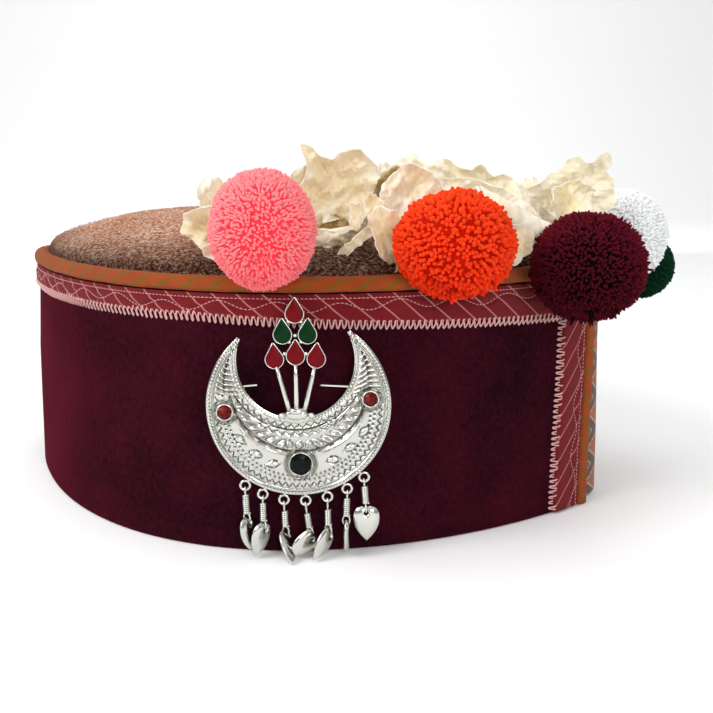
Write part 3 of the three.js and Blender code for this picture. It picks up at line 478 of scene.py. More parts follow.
class Plan:
    """The cap's outline in millimetres, and how far a place is round it."""

    def __init__(self, sizes):
        low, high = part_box("wool_wall")
        self.centre = np.array((low + high) / 2 / MM)
        self.half = np.array([sizes.top_length, sizes.top_width]) / MM / 2
        self.tips = sizes.tip_share
        self.turn = sizes.fold_turn
        self.height = sizes.height / MM
        self.spread = sizes.hem_spread / MM
        self.angles = np.linspace(-200, 560, 6081)
        there = self.at(self.angles, 0, 0, still=True) / MM
        steps = np.linalg.norm(np.diff(there[:, :2], axis=0), axis=1)
        self.lengths = np.concatenate([[0], np.cumsum(steps)])
        self.lengths -= np.interp(0, self.angles, self.lengths)
        self.start = self.length_at(math.degrees(sizes.band_start)) + sizes.gap_width / MM
        self.end = self.length_at(360 + math.degrees(sizes.band_start))
        self.binding = sizes.binding_height / MM
        self.top = self.height - self.binding
        self.trim = sizes.trim_height / MM
        self.drop = sizes.trim_drop / MM
        self.least = sizes.trim_least / MM

    def end_at(self, z):
        """Where the band ends at a height: its free corner is pulled back at the hem."""
        return self.end - 1.6 - 3.4 * (1 - np.clip(np.asarray(z, float) / self.top, 0, 1)) ** 0.8

    def length_at(self, angle):
        return np.interp(angle, self.angles, self.lengths)

    def angle_at(self, length):
        return np.interp(length, self.lengths, self.angles)

    def at(self, angle, out, z, still=False):
        """Points in metres, out millimetres outside the velvet's face. still leaves out the cloth's
        unevenness."""
        angle, out, z = np.broadcast_arrays(*(np.asarray(q, float) for q in (angle, out, z)))
        a = np.radians(angle)
        c, s, m = np.cos(a), np.sin(a), self.tips
        x, y = self.half[0] * c, self.half[1] * s * (1 - m + m * abs(s))
        sx, sy = -self.half[0] * s, self.half[1] * c * (1 - m + 2 * m * abs(s))
        size = np.hypot(sx, sy)
        push = out + self.spread * (1 - z / self.height)
        if not still:
            rise = np.clip(z / self.height, 0, 1) * (1.1 - np.clip(z / self.height, 0, 1))
            push = push + rise * (0.7 * np.sin(3 * a + z / 21) + 0.5 * np.sin(7 * a - z / 13 + 1.7))
            # the left tip's upper edge is pressed in and down
            tip = np.exp(-(((angle % 360 - 188) / 26) ** 2)) * np.clip((z - 46) / 34, 0, 1)
            push, z = push - 3.5 * tip, z - 2.2 * tip
        x, y = x + sy / size * push, y - sx / size * push
        ct, st = math.cos(self.turn), math.sin(self.turn)
        return np.stack(
            [x * ct - y * st + self.centre[0], x * st + y * ct + self.centre[1], z], -1,
        ) * MM

    def along(self, length, out, z, still=False):
        return self.at(self.angle_at(length), out, z, still)

    def normal(self, angle):
        out = self.at(angle, 1, self.height, True) - self.at(angle, 0, self.height, True)
        return out / np.linalg.norm(out, axis=-1, keepdims=True)

    def trim_low(self, length):
        """Height of the red trim's lower edge, which slopes down to the right."""
        x = self.along(length, 0, self.top, True)[..., 0] / MM - self.centre[0]
        return self.top - np.maximum(self.least, self.trim + self.drop * x / self.half[0])


def cap_plan():
    return Plan(bpy.context.scene.cap_sizes)


def velvet_finish():
    # Cotton velvet: short upright pile, nearly black face on, with a wine sheen where it is seen on edge
    # and fine slanting rows where the pile was pressed
    made, tree = finish_named("cotton_velvet")
    uv = coordinates(tree, "UV")
    slanting = {"Vector": uv, "Rotation": (0, 0, 0.6), "Scale": (2.6, 1.9, 1.0)}
    rows = noise(tree, add(tree, "ShaderNodeMapping", slanting).outputs[0], 2.6, 3.0, 0.6)  # 1 mm apart
    fine = maths(tree, "MULTIPLY", rows, noise(tree, uv, 44.0, 4.0, 0.8))
    clouds = maths(tree, "MULTIPLY_ADD", noise(tree, uv, 0.35, 3.0), 1.1, -0.73)
    lighter = maths(tree, "MULTIPLY_ADD", fine, 1.7, clouds)
    colour = mixed(tree, lighter, cloth_colour("velvet"), linear("#4a0e20"))
    lint = {"Value": noise(tree, uv, 30.0), "From Min": 0.62, "From Max": 0.78}
    specks = maths(tree, "MULTIPLY", add(tree, "ShaderNodeMapRange", lint).outputs[0], 0.5)
    return shade(
        made, Base_Color=mixed(tree, specks, colour, linear("#7c3348")), Roughness=0.95,
        Specular_IOR_Level=0.03, Sheen_Weight=0.5, Sheen_Roughness=0.3, Sheen_Tint=linear("#a80c30"),
        Normal=bumped(tree, fine, 0.6, 0.0005),
    )


def striped_cloth(name, ground, second, stripe, period, slope, width, weave, sheen):
    """A striped cotton whose UV runs along the cloth and down from its edge."""
    made, tree = finish_named(name)
    uv = coordinates(tree, "UV")
    apart = add(tree, "ShaderNodeSeparateXYZ", {0: uv}).outputs
    across = maths(tree, "MULTIPLY_ADD", apart["Y"], slope, apart["X"])
    moved = maths(tree, "MULTIPLY_ADD", noise(tree, uv, 0.6, 1.0), 0.18 * period, across)
    near = maths(tree, "PINGPONG", moved, period / 2)
    edges = {"Value": near, "From Min": width * 0.35, "From Max": width, "To Min": 1.0, "To Max": 0.0}
    line = add(tree, "ShaderNodeMapRange", edges, interpolation_type="SMOOTHSTEP").outputs[0]
    warp, picks = threads(tree, uv, weave, "X"), threads(tree, uv, weave, "Y")
    base = mixed(tree, noise(tree, uv, 1.7, 5.0), ground, linear(second))
    shown = maths(tree, "MULTIPLY", line, maths(tree, "MULTIPLY_ADD", picks, 0.5, 0.5))
    return shade(
        made, Base_Color=mixed(tree, shown, base, linear(stripe)), Roughness=0.7,
        Specular_IOR_Level=0.12, Sheen_Weight=sheen, Sheen_Roughness=0.5,
        Normal=bumped(tree, maths(tree, "MULTIPLY", warp, picks), 0.7, 0.0003),
    )


def red_trim_finish():
    # Sateen ribbon, quilted by machine: a soft gloss, with thin pale stripes that slant down to the right
    ground = cloth_colour("red")
    return striped_cloth("quilted_sateen", ground, "#6a0e17", "#d9948c", 0.78, -1.2, 0.046, 22, 0.05)


def binding_finish():
    # Bias tape rolled over a cord: orange cotton with olive stripes that slant up to the right
    ground = cloth_colour("orange")
    return striped_cloth("orange_bias_tape", ground, "#93390c", "#6a6212", 0.88, -1.5, 0.13, 26, 0.06)


def panel_finish():
    # Handwoven patterned strip: brown diamonds with pale outlines on an orange ground, thick weft threads
    made, tree = finish_named("handwoven_strip")
    uv = coordinates(tree, "UV")
    apart = add(tree, "ShaderNodeSeparateXYZ", {0: uv}).outputs
    reach = []
    for axis, half in (("X", 0.9), ("Y", 0.6)):
        stepped = maths(tree, "SNAP", apart[axis], 0.06)  # the threads step the pattern
        reach.append(maths(tree, "DIVIDE", maths(tree, "PINGPONG", stepped, half), half))
    stops = [
        (0.0, "#3f6b3a"), (0.09, "#cdbcaa"), (0.13, "#5c3f33"), (0.42, "#cdbcaa"), (0.47, "#b05a2c"),
        (0.82, "#cdbcaa"), (0.85, "#7c2430"),
    ]
    colour = ramp(tree, maths(tree, "MULTIPLY", maths(tree, "ADD", *reach), 0.5), stops, "CONSTANT")
    fuzz = maths(tree, "MULTIPLY", noise(tree, uv, 14.0, 4.0), 0.6)
    return shade(
        made, Base_Color=mixed(tree, fuzz, colour, linear("#4a2a20")), Roughness=0.9,
        Specular_IOR_Level=0.2, Sheen_Weight=0.2,
        Normal=bumped(tree, threads(tree, uv, 5.2, "Y", 0.8), 0.6, 0.0003),
    )


def wool_finish():
    # Handwoven wool tweed, milled to a felted face: flecked brown, matt, with a rough nap
    made, tree = finish_named("milled_wool_tweed")
    here = coordinates(tree)
    flecks = noise(tree, here, 900.0, 5.0, 0.85)
    clouds = noise(tree, here, 45.0, 4.0, 0.6)
    fine = maths(tree, "MULTIPLY_ADD", clouds, 0.09, maths(tree, "MULTIPLY", flecks, 0.91))
    stops = [(0.37, "#2a1008"), (0.435, "#934f31"), (0.5, "#d69671"), (0.585, "#ffe8d4")]
    # painted shade: dark brown next to the binding, where the binding shades the crown, reaching further up
    # towards the brooch
    apart = add(tree, "ShaderNodeSeparateXYZ", {0: here}).outputs
    beyond = maths(tree, "MAXIMUM", maths(tree, "ADD", apart["X"], 0.095), 0.0)
    height = maths(tree, "MULTIPLY_ADD", beyond, -0.06, apart["Z"])
    edge = {"Value": height, "From Min": 0.0835, "From Max": 0.0925}
    under = maths(tree, "SUBTRACT", 1.0, add(tree, "ShaderNodeMapRange", edge).outputs[0])
    painted_shade = maths(tree, "MULTIPLY", under, maths(tree, "SUBTRACT", 1.36, flecks))
    tufts = add(tree, "ShaderNodeTexVoronoi", {"Vector": here, "Scale": 520.0}).outputs["Distance"]
    nap = maths(tree, "MULTIPLY_ADD", tufts, 0.8, flecks)
    return shade(
        made, Base_Color=mixed(tree, painted_shade, ramp(tree, fine, stops), linear("#28110a")), Roughness=0.95,
        Specular_IOR_Level=0.03, Normal=bumped(tree, nap, 1.0, 0.0011),
    )


def thread_finish(name, colour):
    # Polyester sewing thread: a faint gloss, a little uneven in its dye
    made, tree = finish_named(name)
    uneven = maths(tree, "MULTIPLY", noise(tree, coordinates(tree), 700.0), 0.5)
    tint = mixed(tree, uneven, colour, linear("#b37f80"))
    return shade(made, Base_Color=tint, Roughness=0.55, Specular_IOR_Level=0.4)


def yarn_finish(name, deep, body, tip, painted_glow=0.0):
    # Cut wool yarn: each end is bright at its tip, where the fibres spread, and painted dark at its root as
    # shade deep between the ends, and the ball's upper side is painted lighter as light from above. The
    # last argument is a painted glow, an emission that brightens the yarn
    made, tree = finish_named(name)
    fibres = noise(tree, coordinates(tree), 2600.0)
    way = attribute(tree, "way", "Vector")
    # painted light and shade: ends that point up are lighter, and worn holds the random tone plus each
    # end's place from root to tip, whose dark root is painted shade
    painted_top_light = add(tree, "ShaderNodeSeparateXYZ", {0: way}).outputs["Z"]
    worn = maths(tree, "MULTIPLY_ADD", attribute(tree, "tone"), 0.3, attribute(tree, "tip"))
    height = maths(tree, "MULTIPLY_ADD", painted_top_light, 0.24, worn)
    place = maths(tree, "MULTIPLY_ADD", fibres, 0.2, maths(tree, "MULTIPLY", height, 0.8))
    colour = ramp(tree, place, [(0.12, deep), (0.62, body), (1.0, tip)])
    # the fibres of an end spread out, so it takes the light more like the whole ball than like a rod
    bump = {0: bumped(tree, fibres, 0.4, 0.0002), 1: (0.5, 0.5, 0.5), 2: way}
    soft = add(tree, "ShaderNodeVectorMath", bump, operation="MULTIPLY_ADD").outputs[0]
    # the emission is a painted glow
    return shade(
        made, Base_Color=colour, Roughness=0.9, Specular_IOR_Level=0.06, Subsurface_Weight=0.3,
        Subsurface_Radius=(1.0, 0.4, 0.35), Subsurface_Scale=0.0025, Emission_Color=colour,
        Emission_Strength=painted_glow,
        Normal=add(tree, "ShaderNodeVectorMath", {0: soft}, operation="NORMALIZE").outputs[0],
    )


def paper_finish():
    # Dried seed wings: parchment-thin, cream in the middle, whiter on the torn edges, with a web of fine
    # veins
    made, tree = finish_named("papery_seed_wing")
    here = coordinates(tree)
    outward = add(tree, "ShaderNodeSeparateXYZ", {0: coordinates(tree, "UV")}).outputs["X"]
    # stains 10 mm across, and veins and crushed fibres under 1 mm
    age = maths(tree, "MULTIPLY_ADD", noise(tree, here, 95.0, 5.0, 0.62), 0.65, 0.16)
    drawn_out = add(tree, "ShaderNodeMapping", {"Vector": here, "Scale": (1.0, 1.0, 0.3)}).outputs[0]
    veins = noise(tree, drawn_out, 900.0, 5.0, 0.7)
    stops = [
        (0.2, "#97803f"), (0.38, "#e2cd9f"), (0.52, "#f1e1bd"), (0.66, "#f8eed6"), (0.85, "#fdf9ee"),
    ]
    # the tone also carries the painted-shade patches, and takes them down to the ramp's brown end
    colour = ramp(tree, maths(tree, "MULTIPLY_ADD", attribute(tree, "tone"), 0.2, age), stops)
    edge = maths(tree, "MULTIPLY", maths(tree, "POWER", outward, 7.0), 0.4)
    dark = maths(tree, "MULTIPLY", maths(tree, "POWER", veins, 3.0), 1.1)
    return shade(
        made,
        Base_Color=mixed(tree, dark, mixed(tree, edge, colour, linear("#fcf8ee")), linear("#c9a873")),
        Roughness=0.42, Specular_IOR_Level=0.45, Subsurface_Weight=0.4,
        Subsurface_Radius=(1.0, 0.85, 0.6), Subsurface_Scale=0.002,
        Normal=bumped(tree, veins, 0.6, 0.0006),
    )


def silver_finish(name, worn):
    # Pressed and chased white metal with a silver wash: bright on the high points, with grey-brown tarnish
    # left in the hollows
    made, tree = finish_named(name)
    smears = noise(tree, coordinates(tree), 420.0, 4.0, 0.6)
    dirt = maths(tree, "MULTIPLY_ADD", smears, 0.8, 0.45)
    stain = maths(tree, "MULTIPLY", attribute(tree, "hollow"), dirt)
    return shade(
        made, Base_Color=mixed(tree, stain, linear("#d2d3cb"), linear("#3a3029")), Metallic=1.0,
        Roughness=maths(tree, "MULTIPLY_ADD", smears, 0.18, worn),
        Normal=bumped(tree, smears, 0.12, 0.0003),
    )


def enamel_finish(name, body, deep):
    # Cold enamel: a poured, slightly pooled gloss with faint cloudy streaks
    made, tree = finish_named(name)
    pools = noise(tree, coordinates(tree), 380.0, 3.0)
    colour, normal = mixed(tree, pools, linear(body), linear(deep)), bumped(tree, pools, 0.15, 0.0002)
    return shade(made, Base_Color=colour, Roughness=0.3, Specular_IOR_Level=0.1, IOR=1.5, Normal=normal)


def stone_finish(name, body, painted_glint):
    # Cut glass with foil behind it: dark, with brighter facets painted on in a glint colour, a painted
    # reflection
    made, tree = finish_named(name)
    cells = {"Vector": coordinates(tree), "Scale": 780.0}
    facets = add(tree, "ShaderNodeTexVoronoi", cells).outputs["Distance"]
    colour = mixed(tree, maths(tree, "POWER", facets, 2.0), linear(body), linear(painted_glint))
    return shade(made, Base_Color=colour, Roughness=0.1, Specular_IOR_Level=0.12, IOR=1.5)


WOOL_FACE, WOOL_BACK = -2.5, -5.1  # the wool wall's faces, from the velvet's face
TUCK = 0.3  # gap between the cloth's edge and the binding's lower side
ROUNDING = 0.6  # at the edges of the wool and the velvet
FOLD = 1.1  # radius of the velvet's fold at the hem
VELVET_BACK = -2.2
CROWN_THICK = 2
CROWN_EDGE = -3.95  # the crown's edge, from the velvet's face
AROUND = 240  # points round the wool wall and the crown
FIBRES = 3200


class CAP_OT_wool_wall(bpy.types.Operator):
    """Makes the brown wool wall inside the band"""

    bl_idname = "cap.wool_wall"
    bl_label = "Wool wall"

    def execute(self, context):
        plan = cap_plan()
        angles = np.linspace(0, 360, AROUND, endpoint=False)
        rounded = WOOL_FACE - 0.5, WOOL_BACK + 0.5
        loop = [(WOOL_FACE, z) for z in np.linspace(ROUNDING, plan.top - ROUNDING, 10)]
        loop += [(out, plan.top) for out in rounded]
        loop += [(WOOL_BACK, z) for z in np.linspace(plan.top - ROUNDING, ROUNDING, 10)]
        loop += [(out, 0.0) for out in reversed(rounded)]
        out, z = np.array(loop).T
        mesh = turn_outwards(
            skin("wool_wall_cloth", plan.at(angles[:, None], out[None], z[None]), close_u=True)
        )
        dress(place_object("wool_wall_cloth", mesh), wool_finish(), "wool", "wool_wall")
        return {"FINISHED"}


# Shares of the way from the crown's edge to its middle, and of its rise
DOME = [
    (0.0, 0.0), (0.004, 0.1), (0.012, 0.24), (0.03, 0.33), (0.06, 0.41), (0.12, 0.52), (0.2, 0.64),
    (0.32, 0.78), (0.5, 0.92), (0.75, 0.985), (1.0, 1.0),
]


class CAP_OT_crown(bpy.types.Operator):
    """Makes the domed wool crown and its loose fibres"""

    bl_idname = "cap.crown"
    bl_label = "Crown"

    def execute(self, context):
        plan = cap_plan()
        foot = plan.top + TUCK
        rise = context.scene.cap_sizes.dome_height / MM
        inward = np.linspace(0, 1, 48) ** 1.6
        steps, share = np.array(DOME).T
        height = np.interp(inward, steps, share)
        for _ in range(2):  # rounds the table's corners
            height[1:-1] = (height[:-2] + 2 * height[1:-1] + height[2:]) / 4
        angles = np.linspace(0, 360, AROUND, endpoint=False)
        edge = plan.at(angles, CROWN_EDGE, plan.height, True) / MM - plan.centre * [1, 1, 0]
        a = np.radians(angles)[:, None]
        lumps = 0.35 * np.sin(5 * a + 9 * inward)
        lumps = lumps + 0.3 * np.sin(11 * a - 14 * inward + 2) * (1 - inward)
        lumps = lumps * np.clip(inward * 12, 0, 1) * np.clip((1 - inward) * 3, 0, 1)

        def layer(thickness):
            flat = edge[:, None, :2] * (1 - thickness / 90) * (1 - inward)[None, :, None]
            z = foot + np.maximum(height * rise + lumps - thickness, 0.0)
            return np.concatenate([flat + plan.centre[:2], z[..., None]], -1)

        points = np.concatenate([layer(0), layer(CROWN_THICK)[:, ::-1]], 1) * MM
        mesh = turn_outwards(skin("crown_cloth", points, close_u=True))
        dress(place_object("crown_cloth", mesh), wool_finish(), "wool", "crown")

        source = np.random.default_rng(8)
        t, u = source.uniform(0, 360, FIBRES), np.sqrt(source.uniform(0, 1, FIBRES))
        ends = np.append(angles, 360), np.append(edge, edge[:1], 0)
        root = np.stack([np.interp(t, ends[0], ends[1][:, k]) for k in (0, 1)], 1)
        root = root * u[:, None] + plan.centre[:2]
        z = foot + np.interp(1 - u, inward, height) * rise
        lean = source.uniform(0, 2 * math.pi, FIBRES)
        direction = np.stack([np.cos(lean), np.sin(lean), source.uniform(0.1, 0.7, FIBRES)], 1)
        lengths = source.uniform(0.5, 1.7, FIBRES)
        tone = source.uniform(0, 1, FIBRES) ** 1.3
        fibre = place_object("fibre", yarn_end_mesh(3, FIBRE_PROFILE, bend=0.3))
        points = points_mesh("crown_fibres", np.column_stack([root, z]) * MM, direction, lengths, tone)
        fibres = place_object("crown_fibres", points)
        finish = yarn_finish("loose_wool_fibre", "#3a241b", "#9a7460", "#ecd8c8")
        through_tree(fibres, tuft_tree(), Yarn_end=fibre, Thickness=1.0, Finish=finish)
        bpy.data.objects.remove(fibre)
        dress(fibres, None, "wool")
        return {"FINISHED"}


def points_mesh(name, places, direction, lengths, tone):
    """Loose points with the attributes that the yarn tree reads."""
    mesh = bpy.data.meshes.new(name)
    mesh.from_pydata(places.tolist(), [], [])
    mark(mesh, "direction", direction, "FLOAT_VECTOR")
    return mark(mark(mesh, "length", lengths), "tone", tone)


def yarn_end_mesh(sides, profile, width=1.0, bend=0.0):
    """An end of yarn, 1 mm long, through (height, radius) rows. "tip" runs from 0 at its root to 1."""
    turn = circle(sides)
    rings = []
    for z, radius in profile:
        x, y = np.cos(turn) * radius * width + bend * z**2, np.sin(turn) * radius * width
        rings.append(np.stack([x, y, turn * 0 + z], 1))
    mesh = skin("yarn_end", np.array(rings) * MM)
    return mark(mesh, "tip", [min(1.0, max(0.0, v.co.z / MM)) for v in mesh.vertices])


class CAP_OT_velvet_band(bpy.types.Operator):
    """Makes the velvet band that is folded up round the cap"""

    bl_idname = "cap.velvet_band"
    bl_label = "Velvet band"

    def execute(self, context):
        plan = cap_plan()
        share = np.linspace(0, 1, 330)
        bend = np.radians([180, 225, 270, 315])
        loop = [(-FOLD + FOLD * math.cos(q), FOLD + FOLD * math.sin(q)) for q in bend]
        loop += [(0.0, z) for z in np.linspace(FOLD, plan.top - ROUNDING, 46)]
        loop += [(-0.3, plan.top - TUCK), (-1.9, plan.top - TUCK)]
        loop += [(VELVET_BACK, z) for z in np.linspace(plan.top - ROUNDING, 2.0, 8)]
        out, z = np.array(loop).T
        length = plan.start + share[:, None] * (plan.end_at(z) - plan.start)
        points = plan.along(length, out[None], z[None])
        uv = uv_grid(share * (plan.end - plan.start), np.append(z, z[0])) / UNIT
        band = place_object("velvet_cloth", skin("velvet_cloth", points, uv))
        dress(band, velvet_finish(), "velvet", "velvet_band")
        return {"FINISHED"}


STITCH_STRAIGHT = 1.2  # from the binding to the straight row of stitches
STITCH_WAVE = 3.5  # to the middle of the wavy row
TRIM_END = 12.5  # width of the trim down each end of the band
TRIM_FACE = 1.2  # from the velvet to the trim's face, between its stitches
TRIM_BACK = 0.3
PUFF, PUFF_WIDTH, STITCH_SINK = 0.55, 0.9, 0.3  # rise of the quilting, how soon it rises, and its seams
TRIM_FOOT = 0.8  # height of the trim's end over the hem
QUILT_PITCH, QUILT_LIFT = 0.00128, 0.1
TOOTH, REACH = 1.85, 1.6  # pitch and half height of the zigzag
ZIGZAG_WIRE = 0.00028


def wave_depth(length):
    """How far the wavy row of stitches lies below the binding."""
    return STITCH_WAVE + 1.3 * np.sin(length / 2.9) + 0.4 * np.sin(length / 7.9 + 1)


def puff(length, depth, full):
    """Height of the quilting over its sunk rows of stitches."""
    rows = [depth, full - depth, abs(depth - STITCH_STRAIGHT), abs(depth - wave_depth(length))]
    near = np.minimum.reduce([np.broadcast_to(r, np.broadcast(length, depth).shape) for r in rows])
    return PUFF * (1 - np.exp(-((np.maximum(near, 0) / PUFF_WIDTH) ** 2))) - STITCH_SINK


def on_trim(plan, length, depth, lift, side=0):
    """A place on the trim's face: along it and down from the binding. side is -1 or 1 on an upright end."""
    if side == 0:
        full = plan.top - plan.trim_low(length)
        return plan.along(length, TRIM_FACE + puff(length, depth, full) + lift, plan.top - TUCK - depth)
    foot = plan.start if side < 0 else plan.end
    z = plan.top - TUCK - abs(length - foot)
    foot = plan.start if side < 0 else plan.end_at(z)
    return plan.along(foot - side * depth, TRIM_FACE + puff(length, depth, TRIM_END) + lift, z)


class CAP_OT_red_trim(bpy.types.Operator):
    """Makes the quilted red trim, its two rows of stitches and its zigzag edge"""

    bl_idname = "cap.red_trim"
    bl_label = "Red trim"

    def execute(self, context):
        plan = cap_plan()
        high = plan.top - TUCK
        rows = 22
        depths = np.concatenate([np.linspace(0, 1, rows), [1.0, 0.66, 0.33, 0.0]])
        in_front = np.arange(len(depths)) < rows
        # the strip under the binding, cut slanting at its ends to meet the uprights
        along = np.linspace(0, 1, 620)
        low = plan.trim_low(np.array([plan.start + TRIM_END, plan.end - TRIM_END]))
        lengths = np.empty((len(along), len(depths)))
        for k, part in enumerate(depths):
            inset = TRIM_END * part
            end = plan.end_at(high - part * (high - low[1]))
            lengths[:, k] = plan.start + inset + along * (end - plan.start - 2 * inset)
        full = high - plan.trim_low(lengths)
        depth = depths[None] * full
        out = np.where(in_front, TRIM_FACE + puff(lengths, depth, full), TRIM_BACK)
        points = plan.along(lengths, out, high - depth)
        pieces = [skin("trim_strip", points, self.real_uv(lengths, depth))]
        down = np.linspace(0, 1, 90)[:, None]
        for side, foot, edge in ((-1, plan.start, low[0]), (1, plan.end, low[1])):
            top = high - depths[None] * (high - edge)
            z = top - down * (top - TRIM_FOOT)
            inner = np.broadcast_to(depths * TRIM_END, z.shape)
            length = foot + side * (high - z)
            inward = (plan.start if side < 0 else plan.end_at(z)) - side * inner
            out = np.where(in_front, TRIM_FACE + puff(length, inner, TRIM_END), TRIM_BACK)
            pieces.append(skin("trim_upright", plan.along(inward, out, z), self.real_uv(length, inner)))
        trim = merged("red_trim_cloth", [turn_outwards(mesh) for mesh in pieces])
        dress(trim, red_trim_finish(), "red_trim", "edge_trim")

        def row(depth_of, step=0.6):
            """Paths for a row of stitches along the strip and down both uprights."""
            last = plan.end_at(high)
            middle = np.arange(plan.start, last, step)
            depth = depth_of(middle)
            keep = (middle > plan.start + depth) & (middle < last - depth)
            paths = [(on_trim(plan, middle[keep], depth[keep], QUILT_LIFT), False)]
            for side, foot in ((-1, plan.start), (1, plan.end)):
                away = np.arange(2.0, high - 1.2, step)
                length = foot + side * away
                depth = depth_of(length)
                keep = away > depth
                paths.append((on_trim(plan, length[keep], depth[keep], QUILT_LIFT, side), False))
            return paths

        stitch = place_object("stitch", stitch_mesh())
        thread = thread_finish("pink_thread", cloth_colour("thread"))
        paths = row(lambda length: length * 0 + STITCH_STRAIGHT) + row(wave_depth)
        stitches = place_object("quilting_stitches", paths_mesh("quilting_stitches", paths))
        through_tree(stitches, stitch_tree(), Pitch=QUILT_PITCH, Stitch=stitch, Finish=thread)
        bpy.data.objects.remove(stitch)
        dress(stitches, None, "red_trim")

        source = np.random.default_rng(4)

        def zigzag_over(start, end):
            """Even steps along the edge, and how far the thread swings over it at each."""
            steps = np.arange(start, end, TOOTH / 8)
            turn = (steps - start) / TOOTH * 2 * np.pi
            size = np.interp(steps, steps[::4], source.uniform(0.84, 1.12, len(steps[::4])))
            swing = np.sin(turn) * (1.25 - 0.25 * np.sin(turn) ** 2) * REACH * size
            return steps, swing, np.where(swing < 0, TRIM_FACE + 0.05, 0.42) - 0.25 * (abs(swing) > 1.1)

        lengths, swing, lift = zigzag_over(plan.start + TRIM_END, plan.end_at(low[1]) - TRIM_END)
        paths = [(plan.along(lengths, lift, plan.trim_low(lengths) - 0.4 - swing), False)]
        for side, bottom in ((-1, low[0]), (1, low[1])):
            down, swing, lift = zigzag_over(0, bottom - 1)
            z = bottom - down
            foot = plan.start if side < 0 else plan.end_at(z)
            paths.append((plan.along(foot - side * (TRIM_END + swing), lift, z), False))
        zigzag = place_object("zigzag_stitch", paths_mesh("zigzag_stitch", paths))
        through_tree(zigzag, thread_tree(), Radius=ZIGZAG_WIRE, Sides=6, Finish=thread)
        dress(zigzag, None, "red_trim")
        return {"FINISHED"}

    def real_uv(self, length, depth):
        """A UV grid of the real lengths along and down the cloth."""
        pair = np.stack([length, depth], -1) / UNIT
        return np.concatenate([pair, pair[:, :1]], 1)


def stitch_mesh():
    """A single stitch along X, 0.9 mm long, sunk at both ends."""
    turns = circle(4)
    rings = []
    for x, radius in ((-0.46, 0.08), (-0.3, 0.17), (0, 0.19), (0.3, 0.17), (0.46, 0.08)):
        dip = -0.12 * (x / 0.46) ** 2
        rings.append(
            np.stack([turns * 0 + x, np.cos(turns) * radius, np.sin(turns) * radius * 0.8 + dip], 1)
        )
    return turn_outwards(skin("stitch", np.array(rings) * MM))


BINDING_FOOT = 0.4  # height of the upright binding's end over the hem


class CAP_OT_orange_binding(bpy.types.Operator):
    """Makes the padded orange binding along the top edge and down the band's ends"""

    bl_idname = "cap.orange_binding"
    bl_label = "Orange binding"

    def execute(self, context):
        plan = cap_plan()
        tall = plan.binding
        middle = plan.height - tall / 2
        start, bend = plan.start - tall / 2, 2.2
        end = float(plan.end_at(middle)) + tall / 2
        turn = np.linspace(0.2, 1.4, 5)
        upright = np.linspace(BINDING_FOOT, middle - bend, 60)
        line = [(start, z) for z in upright]
        line += [(start + bend - bend * math.cos(q), middle - bend + bend * math.sin(q)) for q in turn]
        line += [(s, middle) for s in np.linspace(start + bend, end - bend, 560)]
        line += [(end - bend + bend * math.sin(q), middle - bend + bend * math.cos(q)) for q in turn]
        line += [(float(plan.end_at(z)) + tall * 0.56, z) for z in upright[::-1]]
        line = np.array(line)
        way = np.gradient(line, axis=0)
        way /= np.linalg.norm(way, axis=1, keepdims=True)
        travelled = np.concatenate([[0], np.cumsum(np.linalg.norm(np.diff(line, axis=0), axis=1))])
        level = np.clip((line[:, 1] - middle + 8) / 8, 0, 1)  # 1 on the top edge, 0 on an upright
        depth = 4.0 + level * 1.4
        width = tall * (1.14 - 0.14 * level)
        centre = -0.2 - level * 0.55
        sides = 20
        q = circle(sides, np.pi)
        squared = [np.sign(f) * abs(f) ** 0.8 for f in (np.cos(q), np.sin(q))]
        pucker = 1 + 0.02 * np.sin(travelled / 1.6) + 0.02 * np.sin(travelled / 4.3 + 2)
        across = centre[:, None] + squared[0][None] * (depth * pucker / 2)[:, None]
        up = squared[1][None] * (width * pucker / 2)[:, None]
        length, height = line[:, :1] - way[:, 1:] * up, line[:, 1:] + way[:, :1] * up
        points = plan.along(length, across, np.clip(height, 0.25, None))
        uv = uv_grid(travelled, np.arange(sides + 1) * 0.8) / UNIT
        mesh = turn_outwards(skin("binding_tape", points, uv), merge=False)
        tape = place_object("binding_tape", mesh)
        dress(tape, binding_finish(), "orange_binding", "edge_binding")
        return {"FINISHED"}


class CAP_OT_woven_panel(bpy.types.Operator):
    """Makes the patterned strip between the band's ends"""

    bl_idname = "cap.woven_panel"
    bl_label = "Woven panel"

    def execute(self, context):
        plan = cap_plan()
        inset = plan.binding
        last = plan.length_at(360 + plan.angle_at(plan.start)) - inset
        share = np.linspace(0, 1, 70)
        loop = [(-0.5, z) for z in np.linspace(1.4, plan.top - 0.1, 44)]
        loop += [(-2.2, z) for z in np.linspace(plan.top - 0.1, 0.2, 8)] + [(-1.3, 0.3)]
        out, z = np.array(loop).T
        first = plan.end_at(z) + inset
        points = plan.along(first + share[:, None] * (last - first), out[None], z[None])
        uv = uv_grid((share - 0.5) * (last - first.max()), np.append(z, z[0])) / UNIT
        panel = place_object("woven_strip", turn_outwards(skin("woven_strip", points, uv), merge=False))
        dress(panel, panel_finish(), "woven_panel", "pattern_panel")
        return {"FINISHED"}


